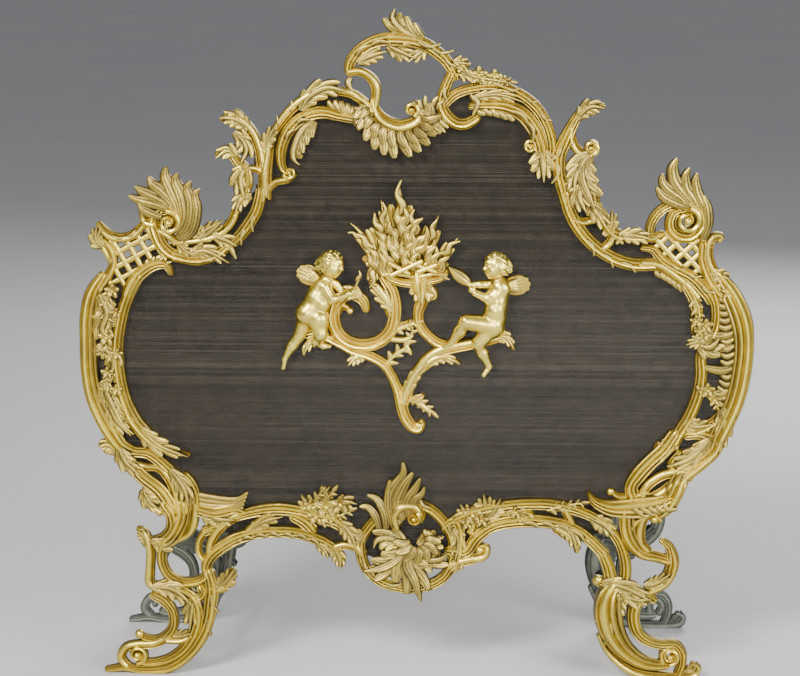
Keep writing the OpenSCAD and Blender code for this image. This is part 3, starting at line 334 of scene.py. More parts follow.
    def chase(self, points, count, side=1, length=15):
        """Comma-shaped leaflets that lie on a band and curl off its edge."""
        path = smooth(points)
        for k in range(count):
            x, z, w, angle = along(path, (k + 0.55) / (count + 0.1))
            if self.too_high(z + length):
                continue
            off = 0.12 * w * side
            start = (x - math.sin(angle) * off, z + math.cos(angle) * off)
            self.petal(*start, angle + 0.28 * side, length, w * 0.42, bow=-0.16 * side, base=3 + 0.36 * w,
                       lift=3.4, curl=0.6)

    def flowers(self, spots, depth=9.0):
        """Rosettes of rounded petals and a berry, each at (x, z, radius)."""
        petals = 5
        for x, z, r in spots:
            for k in range(petals):
                angle = 0.3 + 2 * math.pi * k / petals
                dx = r * math.cos(angle)
                dz = r * math.sin(angle)
                self.tongue([(x, z, r * 0.5), (x + 0.5 * dx, z + 0.5 * dz, 1.15 * r),
                             (x + 0.8 * dx, z + 0.8 * dz, r)], base=depth, lift=1.6, curl=2.4)
            self.ball(x, z, r * 0.34, depth + 2.4)

    def sprig(self, points, count, size=9.0, base=7.0):
        """A twig through points (x, z), with small leaves on alternate sides and one at its end."""
        thick = 2.6
        twig = [(x, z, thick) for x, z in points]
        self.band(twig, base=base, height=thick, section=ROUND)
        path = smooth(twig)
        for k in range(count):
            x, z, w, angle = along(path, (k + 0.4) / count)
            side = 1 if k % 2 else -1
            grow = size * (1 - 0.35 * k / count)
            self.petal(x, z, angle + side * 0.75, grow, grow * 0.68, bow=-0.1 * side, base=base, lift=2.6)
        x, z, w, angle = along(path, 1.0)
        self.petal(x, z, angle, size, size * 0.62, base=base, lift=2.6)

    def strokes(self, drawn, base=0.0):
        """The drawn strokes of a casting. A plain stroke is a band. A letter marks another kind: L a leaf,
        H a half leaf, T a tongue and G a band with a row of gadroons."""
        for stroke in drawn:
            kind, points = ("S", stroke) if isinstance(stroke, list) else stroke
            broad = max(w for x, z, w in points)
            length = distances(np.array(points))[-1]
            if kind == "S":
                self.band([(x, z, 1.08 * w + 1.4) for x, z, w in points], base=base, hand=hand_of(points))
            elif kind == "L":
                lobes = min(3, max(2, round(length / max(16, broad))))
                self.leaf([(x, z, 1.15 * w + 1) for x, z, w in points], lobes=lobes, base=base + 4,
                          lift=3 + 0.25 * broad)
            elif kind == "H":
                self.leaf([(x, z, 1.9 * w) for x, z, w in points], lobes=max(3, round(length / 16)),
                          base=base + 3, side=1)
            elif kind == "T":
                self.tongue(points, base=base + 6, thick=7)
            elif kind == "G":
                self.band(points, base=base, height=4.5, section=ROUND)
                self.gadroons(points)

    def gadroons(self, points):
        """A row of rounded ribs that curl over across a stroke."""
        pitch = 8.0
        sag = 3.5
        path = smooth(points)
        count = max(2, int(distances(path)[-1] / pitch))
        for k in range(count):
            x, z, w, angle = along(path, (k + 0.5) / count)
            dx = 0.62 * w * math.cos(angle + math.pi / 2)
            dz = 0.62 * w * math.sin(angle + math.pi / 2)
            self.tongue([(x - dx, z - dz + sag, pitch * 0.6), (x, z, pitch * 1.05),
                         (x + dx, z + dz + sag, pitch * 0.75)], base=5, curl=0.5, thick=6)

    def double(self, share):
        """Repeats the casting on its flat side in a share of its relief, for a piece seen from both sides."""
        first = len(self.points)
        self.points = self.points + [(x, -share * depth, z) for x, depth, z in self.points]
        self.faces = self.faces + [tuple(first + corner for corner in face) for face in self.faces]
        self.painted_light_and_tone = self.painted_light_and_tone * 2

    def make(self, node, metal="gilt_bronze", plane=FRONT_PLANE, facing=1):
        """The casting as the piece that stands for its CAD node. facing -1 turns it to the back."""
        points = np.array(self.points)
        points[:, 1] = plane - facing * points[:, 1]
        finish_piece(node + "_cast", node, metal, points, self.faces, self.painted_light_and_tone)


def finish_piece(name, node, metal, points, faces, painted_light_and_tone):
    """Makes a piece from points in millimetres, in the finish of a slot, and hangs it on the frame."""
    mesh = bpy.data.meshes.new(name)
    mesh.from_pydata((points * MM).tolist(), [], faces)
    # the value stored here paints shade and highlight into the colour; on the gauze it is each wire's own
    # tone
    mesh.attributes.new("painted_light_and_tone", "FLOAT", "POINT").data.foreach_set("value", painted_light_and_tone)
    work = bmesh.new()
    work.from_mesh(mesh)
    bmesh.ops.recalc_face_normals(work, faces=work.faces)
    work.to_mesh(mesh)
    work.free()
    mesh.polygons.foreach_set("use_smooth", [True] * len(mesh.polygons))
    mesh.set_sharp_from_angle(angle=CREASE)
    mesh.materials.append(METALS[metal])
    obj = bpy.data.objects.new(name, mesh)
    bpy.context.collection.objects.link(obj)
    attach(obj, "root")
    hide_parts(node)


# ---- Materials -----------------------------------------------------------------------------------

METALS = {}         # every finish of the screen, under the name of its slot


def new_material(name):
    """A material with its nodes, its links and its main shader."""
    material = bpy.data.materials.new(name)
    material.use_nodes = True
    nodes = material.node_tree.nodes
    links = material.node_tree.links
    return material, nodes, links, nodes["Principled BSDF"]


def noise(nodes, links, scale, detail):
    """A noise texture in the object's own metres."""
    place = nodes.new("ShaderNodeTexCoord")
    texture = nodes.new("ShaderNodeTexNoise")
    texture.inputs["Scale"].default_value = scale
    texture.inputs["Detail"].default_value = detail
    links.new(place.outputs["Object"], texture.inputs["Vector"])
    return texture.outputs["Fac"]


def ramp(nodes, links, source, stops):
    """A colour ramp driven by a value."""
    node = nodes.new("ShaderNodeValToRGB")
    node.color_ramp.elements[0].position = stops[0][0]
    node.color_ramp.elements[0].color = (*stops[0][1], 1)
    node.color_ramp.elements[1].position = stops[-1][0]
    node.color_ramp.elements[1].color = (*stops[-1][1], 1)
    for position, colour in stops[1:-1]:
        node.color_ramp.elements.new(position).color = (*colour, 1)
    links.new(source, node.inputs["Fac"])
    return node.outputs["Color"]


def maths(nodes, links, operation, a, b, clamp=False):
    """The result of an operation on two values, each a socket or a number."""
    node = nodes.new("ShaderNodeMath")
    node.operation = operation
    node.use_clamp = clamp
    for socket, value in zip(node.inputs, (a, b)):
        if isinstance(value, (int, float)):
            socket.default_value = value
        else:
            links.new(value, socket)
    return node.outputs["Value"]


def mix(nodes, links, factor, a, b):
    """The blend of two colours, each a socket or a tuple."""
    node = nodes.new("ShaderNodeMix")
    node.data_type = "RGBA"
    sockets = {socket.identifier: socket for socket in node.inputs}
    for name, value in (("Factor_Float", factor), ("A_Color", a), ("B_Color", b)):
        socket = sockets[name]
        if isinstance(value, tuple):
            socket.default_value = (*value, 1)
        elif isinstance(value, (int, float)):
            socket.default_value = value
        else:
            links.new(value, socket)
    return next(socket for socket in node.outputs if socket.identifier == "Result_Color")


def bump(nodes, links, shader, height, strength, distance):
    """Roughens a shader's surface with a height, at most a distance in metres."""
    node = nodes.new("ShaderNodeBump")
    node.inputs["Strength"].default_value = strength
    node.inputs["Distance"].default_value = distance
    links.new(height, node.inputs["Height"])
    links.new(node.outputs["Normal"], shader.inputs["Normal"])


def patinated(name, stops, blush, blush_share, roughness, grain, metallic=1.0, specular=0.5):
    """Metal whose colour runs from its recesses to its ridges: patina and painted shade in the recesses,
    rubbed gilding and a painted highlight on the ridges. stops are colours from recess to ridge, and blush is
    a second patina in soft patches."""
    material, nodes, links, shader = new_material(name)
    METALS[name] = material
    # the attribute paints shade into the recesses and a highlight onto the ridges
    height = nodes.new("ShaderNodeAttribute")
    height.attribute_name = "painted_light_and_tone"
    fine = noise(nodes, links, 420, 5)
    cloud = noise(nodes, links, 22, 3)
    spots = noise(nodes, links, 95, 4)
    wear = maths(nodes, links, "MULTIPLY_ADD", spots, 0.5)
    wear.node.inputs[2].default_value = -0.25
    level = maths(nodes, links, "ADD", height.outputs["Fac"], wear, clamp=True)
    colour = ramp(nodes, links, level, stops)
    patches = ramp(nodes, links, cloud, [(0.5 - blush_share, (0, 0, 0)), (0.62, (1, 1, 1))])
    shade = maths(nodes, links, "MULTIPLY", patches, 0.55)
    colour = mix(nodes, links, shade, colour, mix(nodes, links, 0.6, colour, blush))
    links.new(colour, shader.inputs["Base Color"])
    shader.inputs["Metallic"].default_value = metallic
    shader.inputs["Specular IOR Level"].default_value = specular
    low, high = roughness
    rough = maths(nodes, links, "MULTIPLY_ADD", level, low - high)
    rough.node.inputs[2].default_value = high
    rough = maths(nodes, links, "ADD", rough, maths(nodes, links, "MULTIPLY", fine, 0.1), clamp=True)
    links.new(rough, shader.inputs["Roughness"])
    bump(nodes, links, shader, maths(nodes, links, "ADD", fine, spots), grain, 0.0006)


def gilt_bronze():
    """The gilding of the ring and the front feet, browned by patina and darkened with painted shade in its
    recesses.
    """
    patinated("gilt_bronze",
              [(0.0, (0.105, 0.080, 0.032)), (0.3, (0.31, 0.237, 0.066)), (0.65, (0.62, 0.48, 0.090)),
               (1.0, (0.88, 0.70, 0.10))],
              blush=(0.40, 0.28, 0.080), blush_share=0.06, roughness=(0.24, 0.48), grain=0.45)


def bright_gilt():
    """The brighter gilding of the mount on the gauze."""
    patinated("bright_gilt",
              [(0.0, (0.17, 0.125, 0.036)), (0.3, (0.50, 0.38, 0.095)), (0.65, (0.88, 0.69, 0.12)),
               (1.0, (1.0, 0.83, 0.16))],
              blush=(0.56, 0.37, 0.11), blush_share=0.03, roughness=(0.22, 0.44), grain=0.35)


def dark_bronze():
    """The dark, greenish bronze of the rear feet and of the bars that hold them."""
    patinated("dark_bronze",
              [(0.0, (0.035, 0.04, 0.035)), (0.5, (0.10, 0.11, 0.09)), (1.0, (0.23, 0.235, 0.19))],
              blush=(0.13, 0.16, 0.12), blush_share=0.08, roughness=(0.48, 0.72), grain=0.5, metallic=0.7)


def wire_gauze():
    """Browned wire with hardly any gloss."""
    patinated("wire_gauze",
              [(0.0, (0.006, 0.005, 0.0035)), (0.5, (0.022, 0.018, 0.012)), (1.0, (0.075, 0.061, 0.040))],
              blush=(0.032, 0.024, 0.015), blush_share=0.05, roughness=(0.6, 0.8), grain=0.1, metallic=0.4,
              specular=0.2)


def iron_strap():
    """Dark iron with a little rust."""
    patinated("iron_strap",
              [(0.0, (0.05, 0.042, 0.036)), (0.5, (0.10, 0.085, 0.07)), (1.0, (0.2, 0.17, 0.14))],
              blush=(0.22, 0.09, 0.04), blush_share=0.12, roughness=(0.5, 0.8), grain=0.5, metallic=0.8)


def steel_fastener():
    """Dull steel with brown spots."""
    patinated("steel_fastener",
              [(0.0, (0.10, 0.09, 0.08)), (0.5, (0.24, 0.22, 0.2)), (1.0, (0.42, 0.4, 0.37))],
              blush=(0.2, 0.11, 0.06), blush_share=0.08, roughness=(0.35, 0.55), grain=0.3)


def pale_floor():
    """A plain floor with a faint cloudiness."""
    material, nodes, links, shader = new_material("pale_floor")
    pale = [(0.3, (0.52, 0.52, 0.53)), (0.7, (0.55, 0.55, 0.55))]
    links.new(ramp(nodes, links, noise(nodes, links, 1.2, 3), pale), shader.inputs["Base Color"])
    shader.inputs["Roughness"].default_value = 0.75
    return material


# ---- The layout: every stroke as (x, z, width) ---------------------------------------------------

CREST_LOOP = [
    [(-72, 690, 8), (-70, 703, 11), (-58, 717, 12), (-39, 726, 13), (-15, 727, 14), (6, 723, 13),
     (22, 714, 12), (35, 702, 11), (44, 686, 10)],
    [(-73, 691, 7), (-60, 692, 8), (-49, 686, 9), (-43, 676, 10), (-43, 664, 9), (-46, 650, 8)],
    [(-68, 667, 8), (-56, 659, 9), (-48, 648, 9)],
    ("L", [(8, 727, 8), (-8, 734, 14), (-19, 742, 14), (-25, 751, 10), (-22, 759, 4)]),
    [(-46, 662, 7), (-42, 648, 10), (-32, 638, 12), (-16, 633, 13), (0, 638, 12), (5, 648, 9), (0, 657, 7),
     (-6, 653, 5)],
    ("L", [(4, 646, 8), (14, 640, 18), (26, 644, 16)]),
]
LEFT_ARCH = [
    [(-163, 556, 9), (-164, 580, 12), (-161, 600, 10), (-158, 618, 9), (-148, 636, 9), (-132, 654, 10),
     (-112, 667, 10), (-90, 671, 10), (-72, 669, 9), (-58, 661, 8), (-50, 650, 6)],
    [(-136, 580, 7), (-146, 588, 8), (-146, 610, 11), (-137, 630, 12), (-121, 643, 12), (-102, 648, 13),
     (-84, 644, 10), (-66, 641, 10), (-50, 640, 10)],
    ("H", [(-112, 640, 8), (-124, 628, 9), (-132, 612, 8), (-134, 598, 7), (-127, 591, 3)]),
    [(-160, 552, 4), (-161, 562, 6), (-153, 571, 7), (-140, 574, 7), (-132, 580, 5)],
]
RIGHT_ARCH = [
    [(44, 700, 10), (34, 678, 10), (29, 661, 11), (33, 647, 12), (44, 637, 12), (56, 636, 11),
     (68, 643, 9)],
    [(32, 656, 8), (44, 668, 10), (62, 674, 10), (86, 676, 11), (108, 670, 11), (128, 657, 11),
     (142, 638, 11), (149, 615, 10), (149, 590, 8)],
    [(60, 655, 7), (78, 656, 11), (98, 655, 14), (116, 647, 15), (129, 632, 15), (137, 614, 13),
     (139, 596, 12), (141, 576, 4)],
    [(122, 612, 6), (128, 610, 6), (134, 603, 6)],
    ("T", [(60, 667, 6), (68, 659, 8), (64, 648, 4)]),
    [(148, 592, 8), (142, 586, 8), (134, 594, 4)],
]
LEFT_EAR = [
    [(-212, 640, 5), (-203, 643, 9), (-190, 638, 10), (-179, 626, 10), (-172, 610, 9), (-169, 592, 10),
     (-167, 577, 9), (-170, 550, 10)],
    ("L", [(-198, 626, 5), (-189, 617, 9), (-185, 606, 9), (-190, 594, 8)]),
    [(-218, 600, 5), (-212, 605, 8), (-203, 603, 9), (-196, 594, 10), (-188, 584, 13), (-186, 570, 14),
     (-189, 560, 11), (-193, 548, 9)],
    [(-190, 584, 8), (-178, 586, 7), (-168, 582, 7)],
]
RIGHT_EAR = [
    [(205, 655, 5), (193, 656, 8), (180, 648, 9), (171, 634, 11), (164, 618, 14), (158, 602, 13),
     (158, 582, 13), (163, 562, 13), (168, 544, 12)],
    [(171, 634, 6), (172, 618, 8), (178, 607, 9), (190, 602, 8), (197, 610, 7), (193, 614, 6)],
    ("L", [(190, 602, 10), (182, 592, 16), (182, 575, 18), (188, 560, 18), (196, 545, 12)]),
    [(166, 572, 8), (176, 566, 10), (186, 562, 8)],
]
LEFT_SHOULDER = [
    [(-192, 560, 9), (-197, 541, 8), (-205, 524, 9), (-218, 513, 9), (-238, 507, 9), (-268, 504, 8)],
    [(-170, 562, 10), (-173, 545, 12), (-180, 530, 12), (-193, 512, 12), (-206, 501, 10), (-222, 490, 12),
     (-243, 485, 13), (-268, 489, 12)],
    ("L", [(-222, 510, 7), (-208, 506, 9), (-198, 501, 6)]),
    ("L", [(-246, 510, 6), (-230, 518, 7), (-216, 527, 4)]),
    ("L", [(-262, 503, 7), (-254, 494, 6), (-244, 490, 5)]),
]
RIGHT_SHOULDER = [
    [(165, 560, 13), (170, 540, 13), (182, 519, 13), (198, 502, 13), (218, 489, 13), (240, 482, 13),
     (264, 482, 13)],
    [(194, 560, 14), (198, 545, 12), (208, 528, 12), (222, 515, 11), (240, 512, 10), (264, 512, 9)],
    [(176, 532, 8), (186, 529, 8), (198, 532, 9)],
    [(218, 515, 9), (214, 506, 9), (206, 499, 8)],
    ("L", [(214, 522, 8), (216, 532, 6), (216, 541, 3)]),
]
LEFT_FINIAL = [
    [(-256, 487, 12), (-270, 491, 12), (-280, 500, 12), (-286, 513, 12), (-289, 527, 11), (-282, 538, 10),
     (-270, 538, 9), (-262, 529, 8), (-268, 521, 6)],
    [(-256, 504, 8), (-268, 508, 8), (-276, 514, 9), (-285, 518, 8)],
    [(-290, 524, 12), (-300, 528, 8), (-299, 545, 8), (-285, 552, 8)],
]
RIGHT_FINIAL = [
    [(258, 510, 8), (259, 525, 9), (266, 538, 10), (279, 547, 10), (296, 548, 12), (310, 540, 14),
     (314, 526, 12), (304, 514, 12), (290, 514, 12), (281, 524, 12), (284, 538, 10), (298, 542, 8),
     (304, 533, 8)],
]
LEFT_PLUME = [
    ("T", [(-258, 506, 9), (-246, 518, 12), (-241, 540, 13), (-243, 556, 11), (-239, 562, 6)]),
    ("T", [(-262, 508, 9), (-250, 524, 13), (-247, 548, 16), (-251, 563, 12), (-248, 570, 6)]),
    ("T", [(-264, 514, 9), (-255, 532, 14), (-258, 556, 17), (-264, 571, 13), (-262, 579, 6)]),
    ("T", [(-262, 518, 9), (-260, 540, 15), (-269, 562, 17), (-275, 577, 13), (-274, 586, 6)]),
    ("T", [(-262, 526, 9), (-268, 548, 15), (-280, 562, 16), (-289, 569, 12), (-292, 575, 6)]),
    ("T", [(-264, 532, 9), (-276, 548, 15), (-291, 556, 15), (-301, 561, 12), (-306, 565, 6)]),
    ("T", [(-268, 538, 9), (-282, 545, 13), (-297, 549, 14), (-307, 552, 10), (-313, 555, 6)]),
    ("T", [(-280, 532, 8), (-291, 536, 12), (-300, 541, 11), (-304, 547, 6)]),
]
RIGHT_PLUME = [
    ("T", [(316, 510, 9), (321, 528, 13), (319, 546, 13), (315, 557, 7)]),
    ("T", [(314, 520, 9), (318, 540, 14), (309, 560, 14), (306, 573, 11), (307, 581, 6)]),
    ("T", [(312, 530, 9), (308, 550, 15), (297, 566, 15), (295, 579, 11), (298, 587, 6)]),
    ("T", [(310, 538, 9), (300, 554, 16), (285, 572, 17), (281, 587, 14), (284, 597, 7)]),
    ("T", [(304, 544, 9), (290, 556, 14), (276, 566, 14), (270, 574, 10), (270, 580, 6)]),
    ("T", [(296, 546, 9), (281, 552, 13), (271, 558, 12), (265, 566, 6)]),
]
LEFT_LATTICE = [
    [(-351, 524, 6), (-342, 513, 9), (-328, 508, 9), (-314, 511, 9), (-302, 522, 7)],
    [(-352, 498, 5), (-358, 500, 5), (-354, 507, 5), (-344, 503, 7), (-337, 492, 8), (-336, 478, 8),
     (-344, 462, 9), (-352, 450, 9)],
    [(-271, 468, 5), (-277, 478, 9), (-290, 478, 12), (-304, 469, 13), (-315, 456, 13), (-321, 444, 12)],
]
RIGHT_LATTICE = [
    [(250, 500, 6), (262, 498, 8), (272, 487, 10), (288, 477, 11), (306, 467, 12), (322, 450, 12),
     (328, 440, 10)],
    [(333, 508, 6), (336, 513, 7), (328, 512, 8), (323, 500, 9), (325, 485, 9), (333, 472, 8),
     (345, 468, 5)],
    [(318, 505, 10), (318, 486, 10), (326, 466, 12), (340, 448, 12)],
    [(250, 482, 13), (268, 480, 10), (286, 469, 9), (302, 456, 9), (312, 444, 9)],
    [(250, 512, 9), (262, 512, 8), (272, 516, 6)],
]
LEFT_SIDE = [
    [(-347, 466, 10), (-359, 446, 16), (-365, 420, 17), (-366, 392, 17), (-366, 360, 17), (-362, 330, 17),
     (-353, 305, 17), (-340, 282, 18), (-330, 268, 14)],
    [(-308, 466, 13), (-321, 440, 12), (-328, 418, 12), (-333, 390, 12), (-333, 364, 12), (-330, 340, 12),
     (-325, 320, 13), (-316, 300, 15), (-303, 284, 15), (-287, 271, 13), (-270, 263, 8), (-255, 261, 3)],
    ("L", [(-352, 444, 8), (-344, 424, 14), (-350, 405, 12), (-340, 396, 10)]),
    ("L", [(-360, 378, 8), (-348, 382, 10), (-338, 370, 10), (-342, 352, 10), (-352, 345, 8)]),
    ("L", [(-352, 345, 8), (-346, 330, 14), (-338, 312, 12), (-330, 296, 12), (-318, 286, 8)]),
    [(-334, 332, 8), (-345, 335, 8), (-355, 336, 8)],
]
RIGHT_SIDE = [
    [(334, 470, 12), (349, 448, 20), (361, 420, 22), (365, 392, 20), (363, 360, 20), (357, 330, 20),
     (347, 304, 20), (338, 284, 20)],
    [(322, 464, 9), (332, 440, 10), (333, 415, 10), (326, 396, 12), (318, 380, 11), (319, 358, 12),
     (316, 335, 12), (308, 312, 12), (299, 296, 12), (290, 280, 14)],
    [(296, 462, 9), (306, 446, 10), (312, 430, 12), (312, 412, 12), (318, 396, 12)],
    ("T", [(352, 392, 8), (338, 388, 12), (322, 391, 11), (312, 399, 5)]),
    ("T", [(352, 404, 8), (338, 402, 12), (324, 404, 10), (316, 409, 5)]),
    ("T", [(352, 366, 8), (340, 363, 12), (324, 366, 9)]),
    ("T", [(350, 340, 8), (338, 336, 13), (322, 338, 10), (315, 344, 5)]),
    ("G", [(330, 468, 10), (340, 448, 12), (343, 425, 14), (345, 400, 14), (347, 372, 12), (346, 345, 12),
           (338, 320, 12)]),
    [(345, 316, 10), (334, 304, 10), (320, 296, 12), (306, 292, 10)],
]
LEFT_HAUNCH = [
    [(-357, 271, 4), (-345, 272, 8), (-332, 266, 12), (-322, 250, 14), (-308, 234, 15), (-290, 219, 16),
     (-278, 200, 16), (-276, 190, 14)],
    [(-343, 290, 16), (-333, 273, 14), (-318, 264, 11), (-302, 262, 12), (-288, 252, 12), (-272, 236, 13),
     (-262, 218, 14), (-262, 194, 14)],
    [(-322, 250, 10), (-305, 246, 8), (-290, 244, 8), (-278, 230, 9), (-272, 212, 10), (-272, 194, 12)],
    [(-262, 236, 12), (-254, 226, 12), (-249, 212, 10), (-250, 194, 8)],
    [(-306, 222, 6), (-304, 208, 10), (-296, 200, 10), (-288, 194, 12)],
]
RIGHT_HAUNCH = [
    [(340, 290, 18), (334, 272, 18), (318, 256, 18), (300, 240, 18), (292, 222, 20), (284, 206, 18),
     (276, 196, 12)],
    [(292, 290, 14), (280, 272, 16), (266, 258, 16), (252, 242, 16), (244, 226, 14), (252, 206, 16)],
    [(304, 288, 10), (318, 290, 12), (332, 286, 12)],
    [(300, 268, 10), (290, 254, 12), (302, 250, 14), (316, 252, 10)],
    [(312, 250, 8), (296, 246, 10), (276, 240, 10), (260, 226, 10), (262, 214, 10), (280, 224, 9),
     (296, 238, 9)],
    [(221, 223, 6), (230, 217, 6), (246, 218, 7), (262, 222, 8)],
    [(274, 278, 7), (270, 265, 8), (262, 255, 8)],
]
LEFT_LOWER_RAIL = [
    [(-240, 170, 10), (-222, 178, 10), (-203, 188, 10), (-180, 195, 12), (-155, 198, 13), (-130, 195, 13),
     (-112, 190, 14), (-92, 185, 15), (-76, 172, 10), (-66, 158, 7)],
    [(-222, 152, 12), (-206, 161, 13), (-185, 168, 12), (-158, 171, 12), (-130, 169, 12), (-108, 161, 12),
     (-92, 151, 11), (-84, 138, 9), (-84, 130, 3)],
    [(-190, 172, 8), (-176, 184, 8), (-164, 192, 8)],
    [(-138, 190, 12), (-126, 184, 14), (-116, 174, 14)],
    ("L", [(-110, 158, 8), (-102, 150, 5), (-98, 142, 3)]),
    [(-92, 152, 9), (-78, 156, 9), (-64, 152, 8)],
]
RIGHT_LOWER_RAIL = [
    [(38, 182, 10), (54, 190, 14), (74, 198, 14), (98, 203, 12), (124, 206, 12), (152, 206, 12),
     (176, 202, 12), (198, 194, 11), (216, 184, 10)],
    [(66, 142, 10), (78, 145, 11), (81, 155, 8), (73, 154, 6)],
    [(38, 150, 14), (58, 150, 13), (70, 166, 13), (88, 180, 13), (112, 186, 14), (140, 187, 14),
     (166, 183, 13), (190, 172, 12), (216, 148, 12)],
    [(100, 192, 10), (116, 196, 12), (132, 194, 10)],
    [(168, 202, 8), (174, 192, 8), (178, 184, 8)],
    [(64, 172, 10), (68, 184, 10), (76, 196, 8)],
    [(160, 178, 9), (176, 168, 10), (184, 158, 8), (184, 150, 4)],
    [(38, 128, 8), (50, 136, 10), (68, 141, 9)],
]
CARTOUCHE = [
    [(-74, 170, 8), (-66, 156, 10), (-58, 146, 10)],
    [(-18, 204, 12), (-22, 190, 12), (-18, 180, 8)],
    [(-4, 204, 10), (8, 196, 9), (6, 186, 8), (-2, 186, 7)],
    [(34, 176, 12), (46, 184, 14), (50, 170, 14), (48, 146, 12), (44, 128, 10)],
]
CARTOUCHE_LEAF = [
    [(-6, 150, 20), (-8, 134, 24), (0, 118, 20), (4, 104, 14), (8, 92, 4)],
    [(-12, 158, 14), (-28, 166, 15), (-42, 164, 12), (-46, 156, 6)],
    [(-12, 146, 14), (-26, 136, 18), (-40, 130, 16), (-56, 128, 8)],
    [(6, 156, 14), (20, 162, 15), (32, 168, 8)],
    [(4, 144, 14), (18, 140, 15), (30, 142, 12), (38, 150, 6)],
]
CARTOUCHE_PLUME = [
    ("T", [(-40, 178, 8), (-44, 192, 11), (-52, 203, 9), (-60, 204, 5)]),
    ("T", [(-32, 178, 8), (-34, 196, 12), (-42, 212, 10), (-51, 217, 5)]),
    ("T", [(-26, 184, 8), (-30, 202, 12), (-30, 220, 9), (-28, 234, 5)]),
    ("T", [(0, 196, 8), (0, 210, 11), (8, 219, 8), (11, 226, 4)]),
    ("T", [(-6, 192, 9), (-9, 209, 13), (0, 224, 11), (6, 236, 5)]),
    ("T", [(-12, 188, 9), (-20, 206, 15), (-13, 226, 14), (-3, 242, 6)]),
    ("T", [(-16, 184, 9), (-29, 202, 14), (-25, 224, 14), (-13, 242, 10), (-13, 254, 5)]),
]
CREST_SPRIG = [
    ("L", [(42, 702, 8), (50, 702, 7), (59, 701, 3)]),
    ("L", [(48, 696, 6), (62, 688, 6), (84, 684, 6), (103, 681, 4)]),
]
LEFT_FOOT = [
    [(-316, 173, 4), (-309, 170, 6), (-304, 160, 8), (-302, 144, 9), (-303, 125, 9), (-303, 108, 10),
     (-290, 104, 9), (-270, 106, 9)],
    [(-284, 202, 14), (-276, 188, 14), (-276, 174, 14), (-286, 162, 12), (-302, 158, 8)],
    [(-264, 202, 16), (-266, 184, 16), (-274, 168, 15), (-287, 152, 11), (-289, 134, 10), (-282, 118, 10),
     (-268, 110, 10), (-252, 110, 10), (-240, 116, 8)],
    [(-250, 202, 8), (-252, 182, 10), (-258, 168, 8), (-270, 160, 6)],
    [(-300, 95, 11), (-288, 88, 12), (-279, 76, 10), (-277, 60, 10), (-284, 47, 10), (-298, 40, 8),
     (-313, 43, 7)],
    [(-282, 99, 11), (-266, 98, 14), (-254, 88, 14), (-250, 70, 14), (-254, 50, 13), (-266, 30, 11),
     (-284, 17, 9), (-304, 12, 8), (-318, 14, 8)],
    [(-236, 122, 12), (-232, 104, 14), (-234, 84, 14), (-238, 62, 13), (-248, 40, 13), (-264, 20, 12),
     (-286, 6, 12), (-312, 3, 10), (-334, 6, 8), (-348, 4, 7), (-357, 3, 5)],
    [(-244, 104, 12), (-242, 98, 10), (-250, 88, 8)],
    [(-282, 44, 8), (-300, 35, 9), (-318, 34, 9), (-333, 30, 9), (-339, 18, 9), (-332, 8, 9)],
    [(-256, 46, 6), (-270, 40, 8), (-286, 40, 8)],
    [(-318, 14, 7), (-312, 23, 7), (-320, 28, 6), (-327, 22, 6)],
    [(-234, 106, 10), (-222, 104, 12), (-214, 112, 12), (-208, 124, 8)],
    [(-236, 116, 10), (-238, 130, 11), (-230, 144, 13), (-214, 156, 13), (-200, 164, 13)],
    [(-234, 140, 8), (-232, 158, 9), (-224, 172, 10), (-212, 183, 10), (-200, 190, 10)],
    [(-246, 196, 14), (-226, 192, 16), (-206, 196, 14), (-196, 194, 10)],
    [(-226, 178, 8), (-238, 170, 8), (-246, 158, 7), (-246, 144, 6), (-238, 134, 6)],
]
RIGHT_FOOT = [
    [(240, 202, 16), (240, 182, 16), (246, 164, 15), (258, 150, 12), (274, 146, 11), (289, 141, 10)],
    [(278, 188, 6), (270, 195, 7), (260, 190, 8), (256, 176, 9), (258, 162, 8), (266, 153, 6)],
    [(268, 202, 12), (262, 194, 8), (252, 186, 8), (246, 176, 6)],
    [(280, 165, 6), (289, 157, 9), (293, 142, 13), (290, 126, 13), (281, 114, 13), (266, 106, 12)],
    [(198, 194, 10), (216, 182, 10), (230, 166, 10), (238, 146, 11), (240, 126, 12), (236, 112, 12)],
    [(198, 166, 12), (212, 151, 12), (220, 134, 13), (224, 116, 14)],
    [(206, 118, 9), (220, 112, 12), (240, 108, 14), (258, 102, 14), (274, 94, 8)],
    [(229, 112, 16), (222, 98, 26), (221, 78, 29), (227, 56, 26), (240, 36, 20), (258, 22, 15),
     (276, 17, 12), (290, 17, 9)],
    [(262, 100, 12), (252, 88, 13), (250, 72, 13), (255, 56, 12), (266, 46, 11), (282, 41, 10),
     (298, 41, 10), (306, 31, 10), (306, 17, 9), (302, 6, 8)],
    [(212, 52, 6), (224, 30, 8), (244, 12, 9), (266, 4, 10), (290, 2, 10), (310, 3, 8), (322, 6, 8),
     (325, 14, 6), (318, 18, 5)],
    [(286, 18, 8), (285, 31, 7), (294, 35, 7), (299, 27, 7), (295, 18, 7)],
]
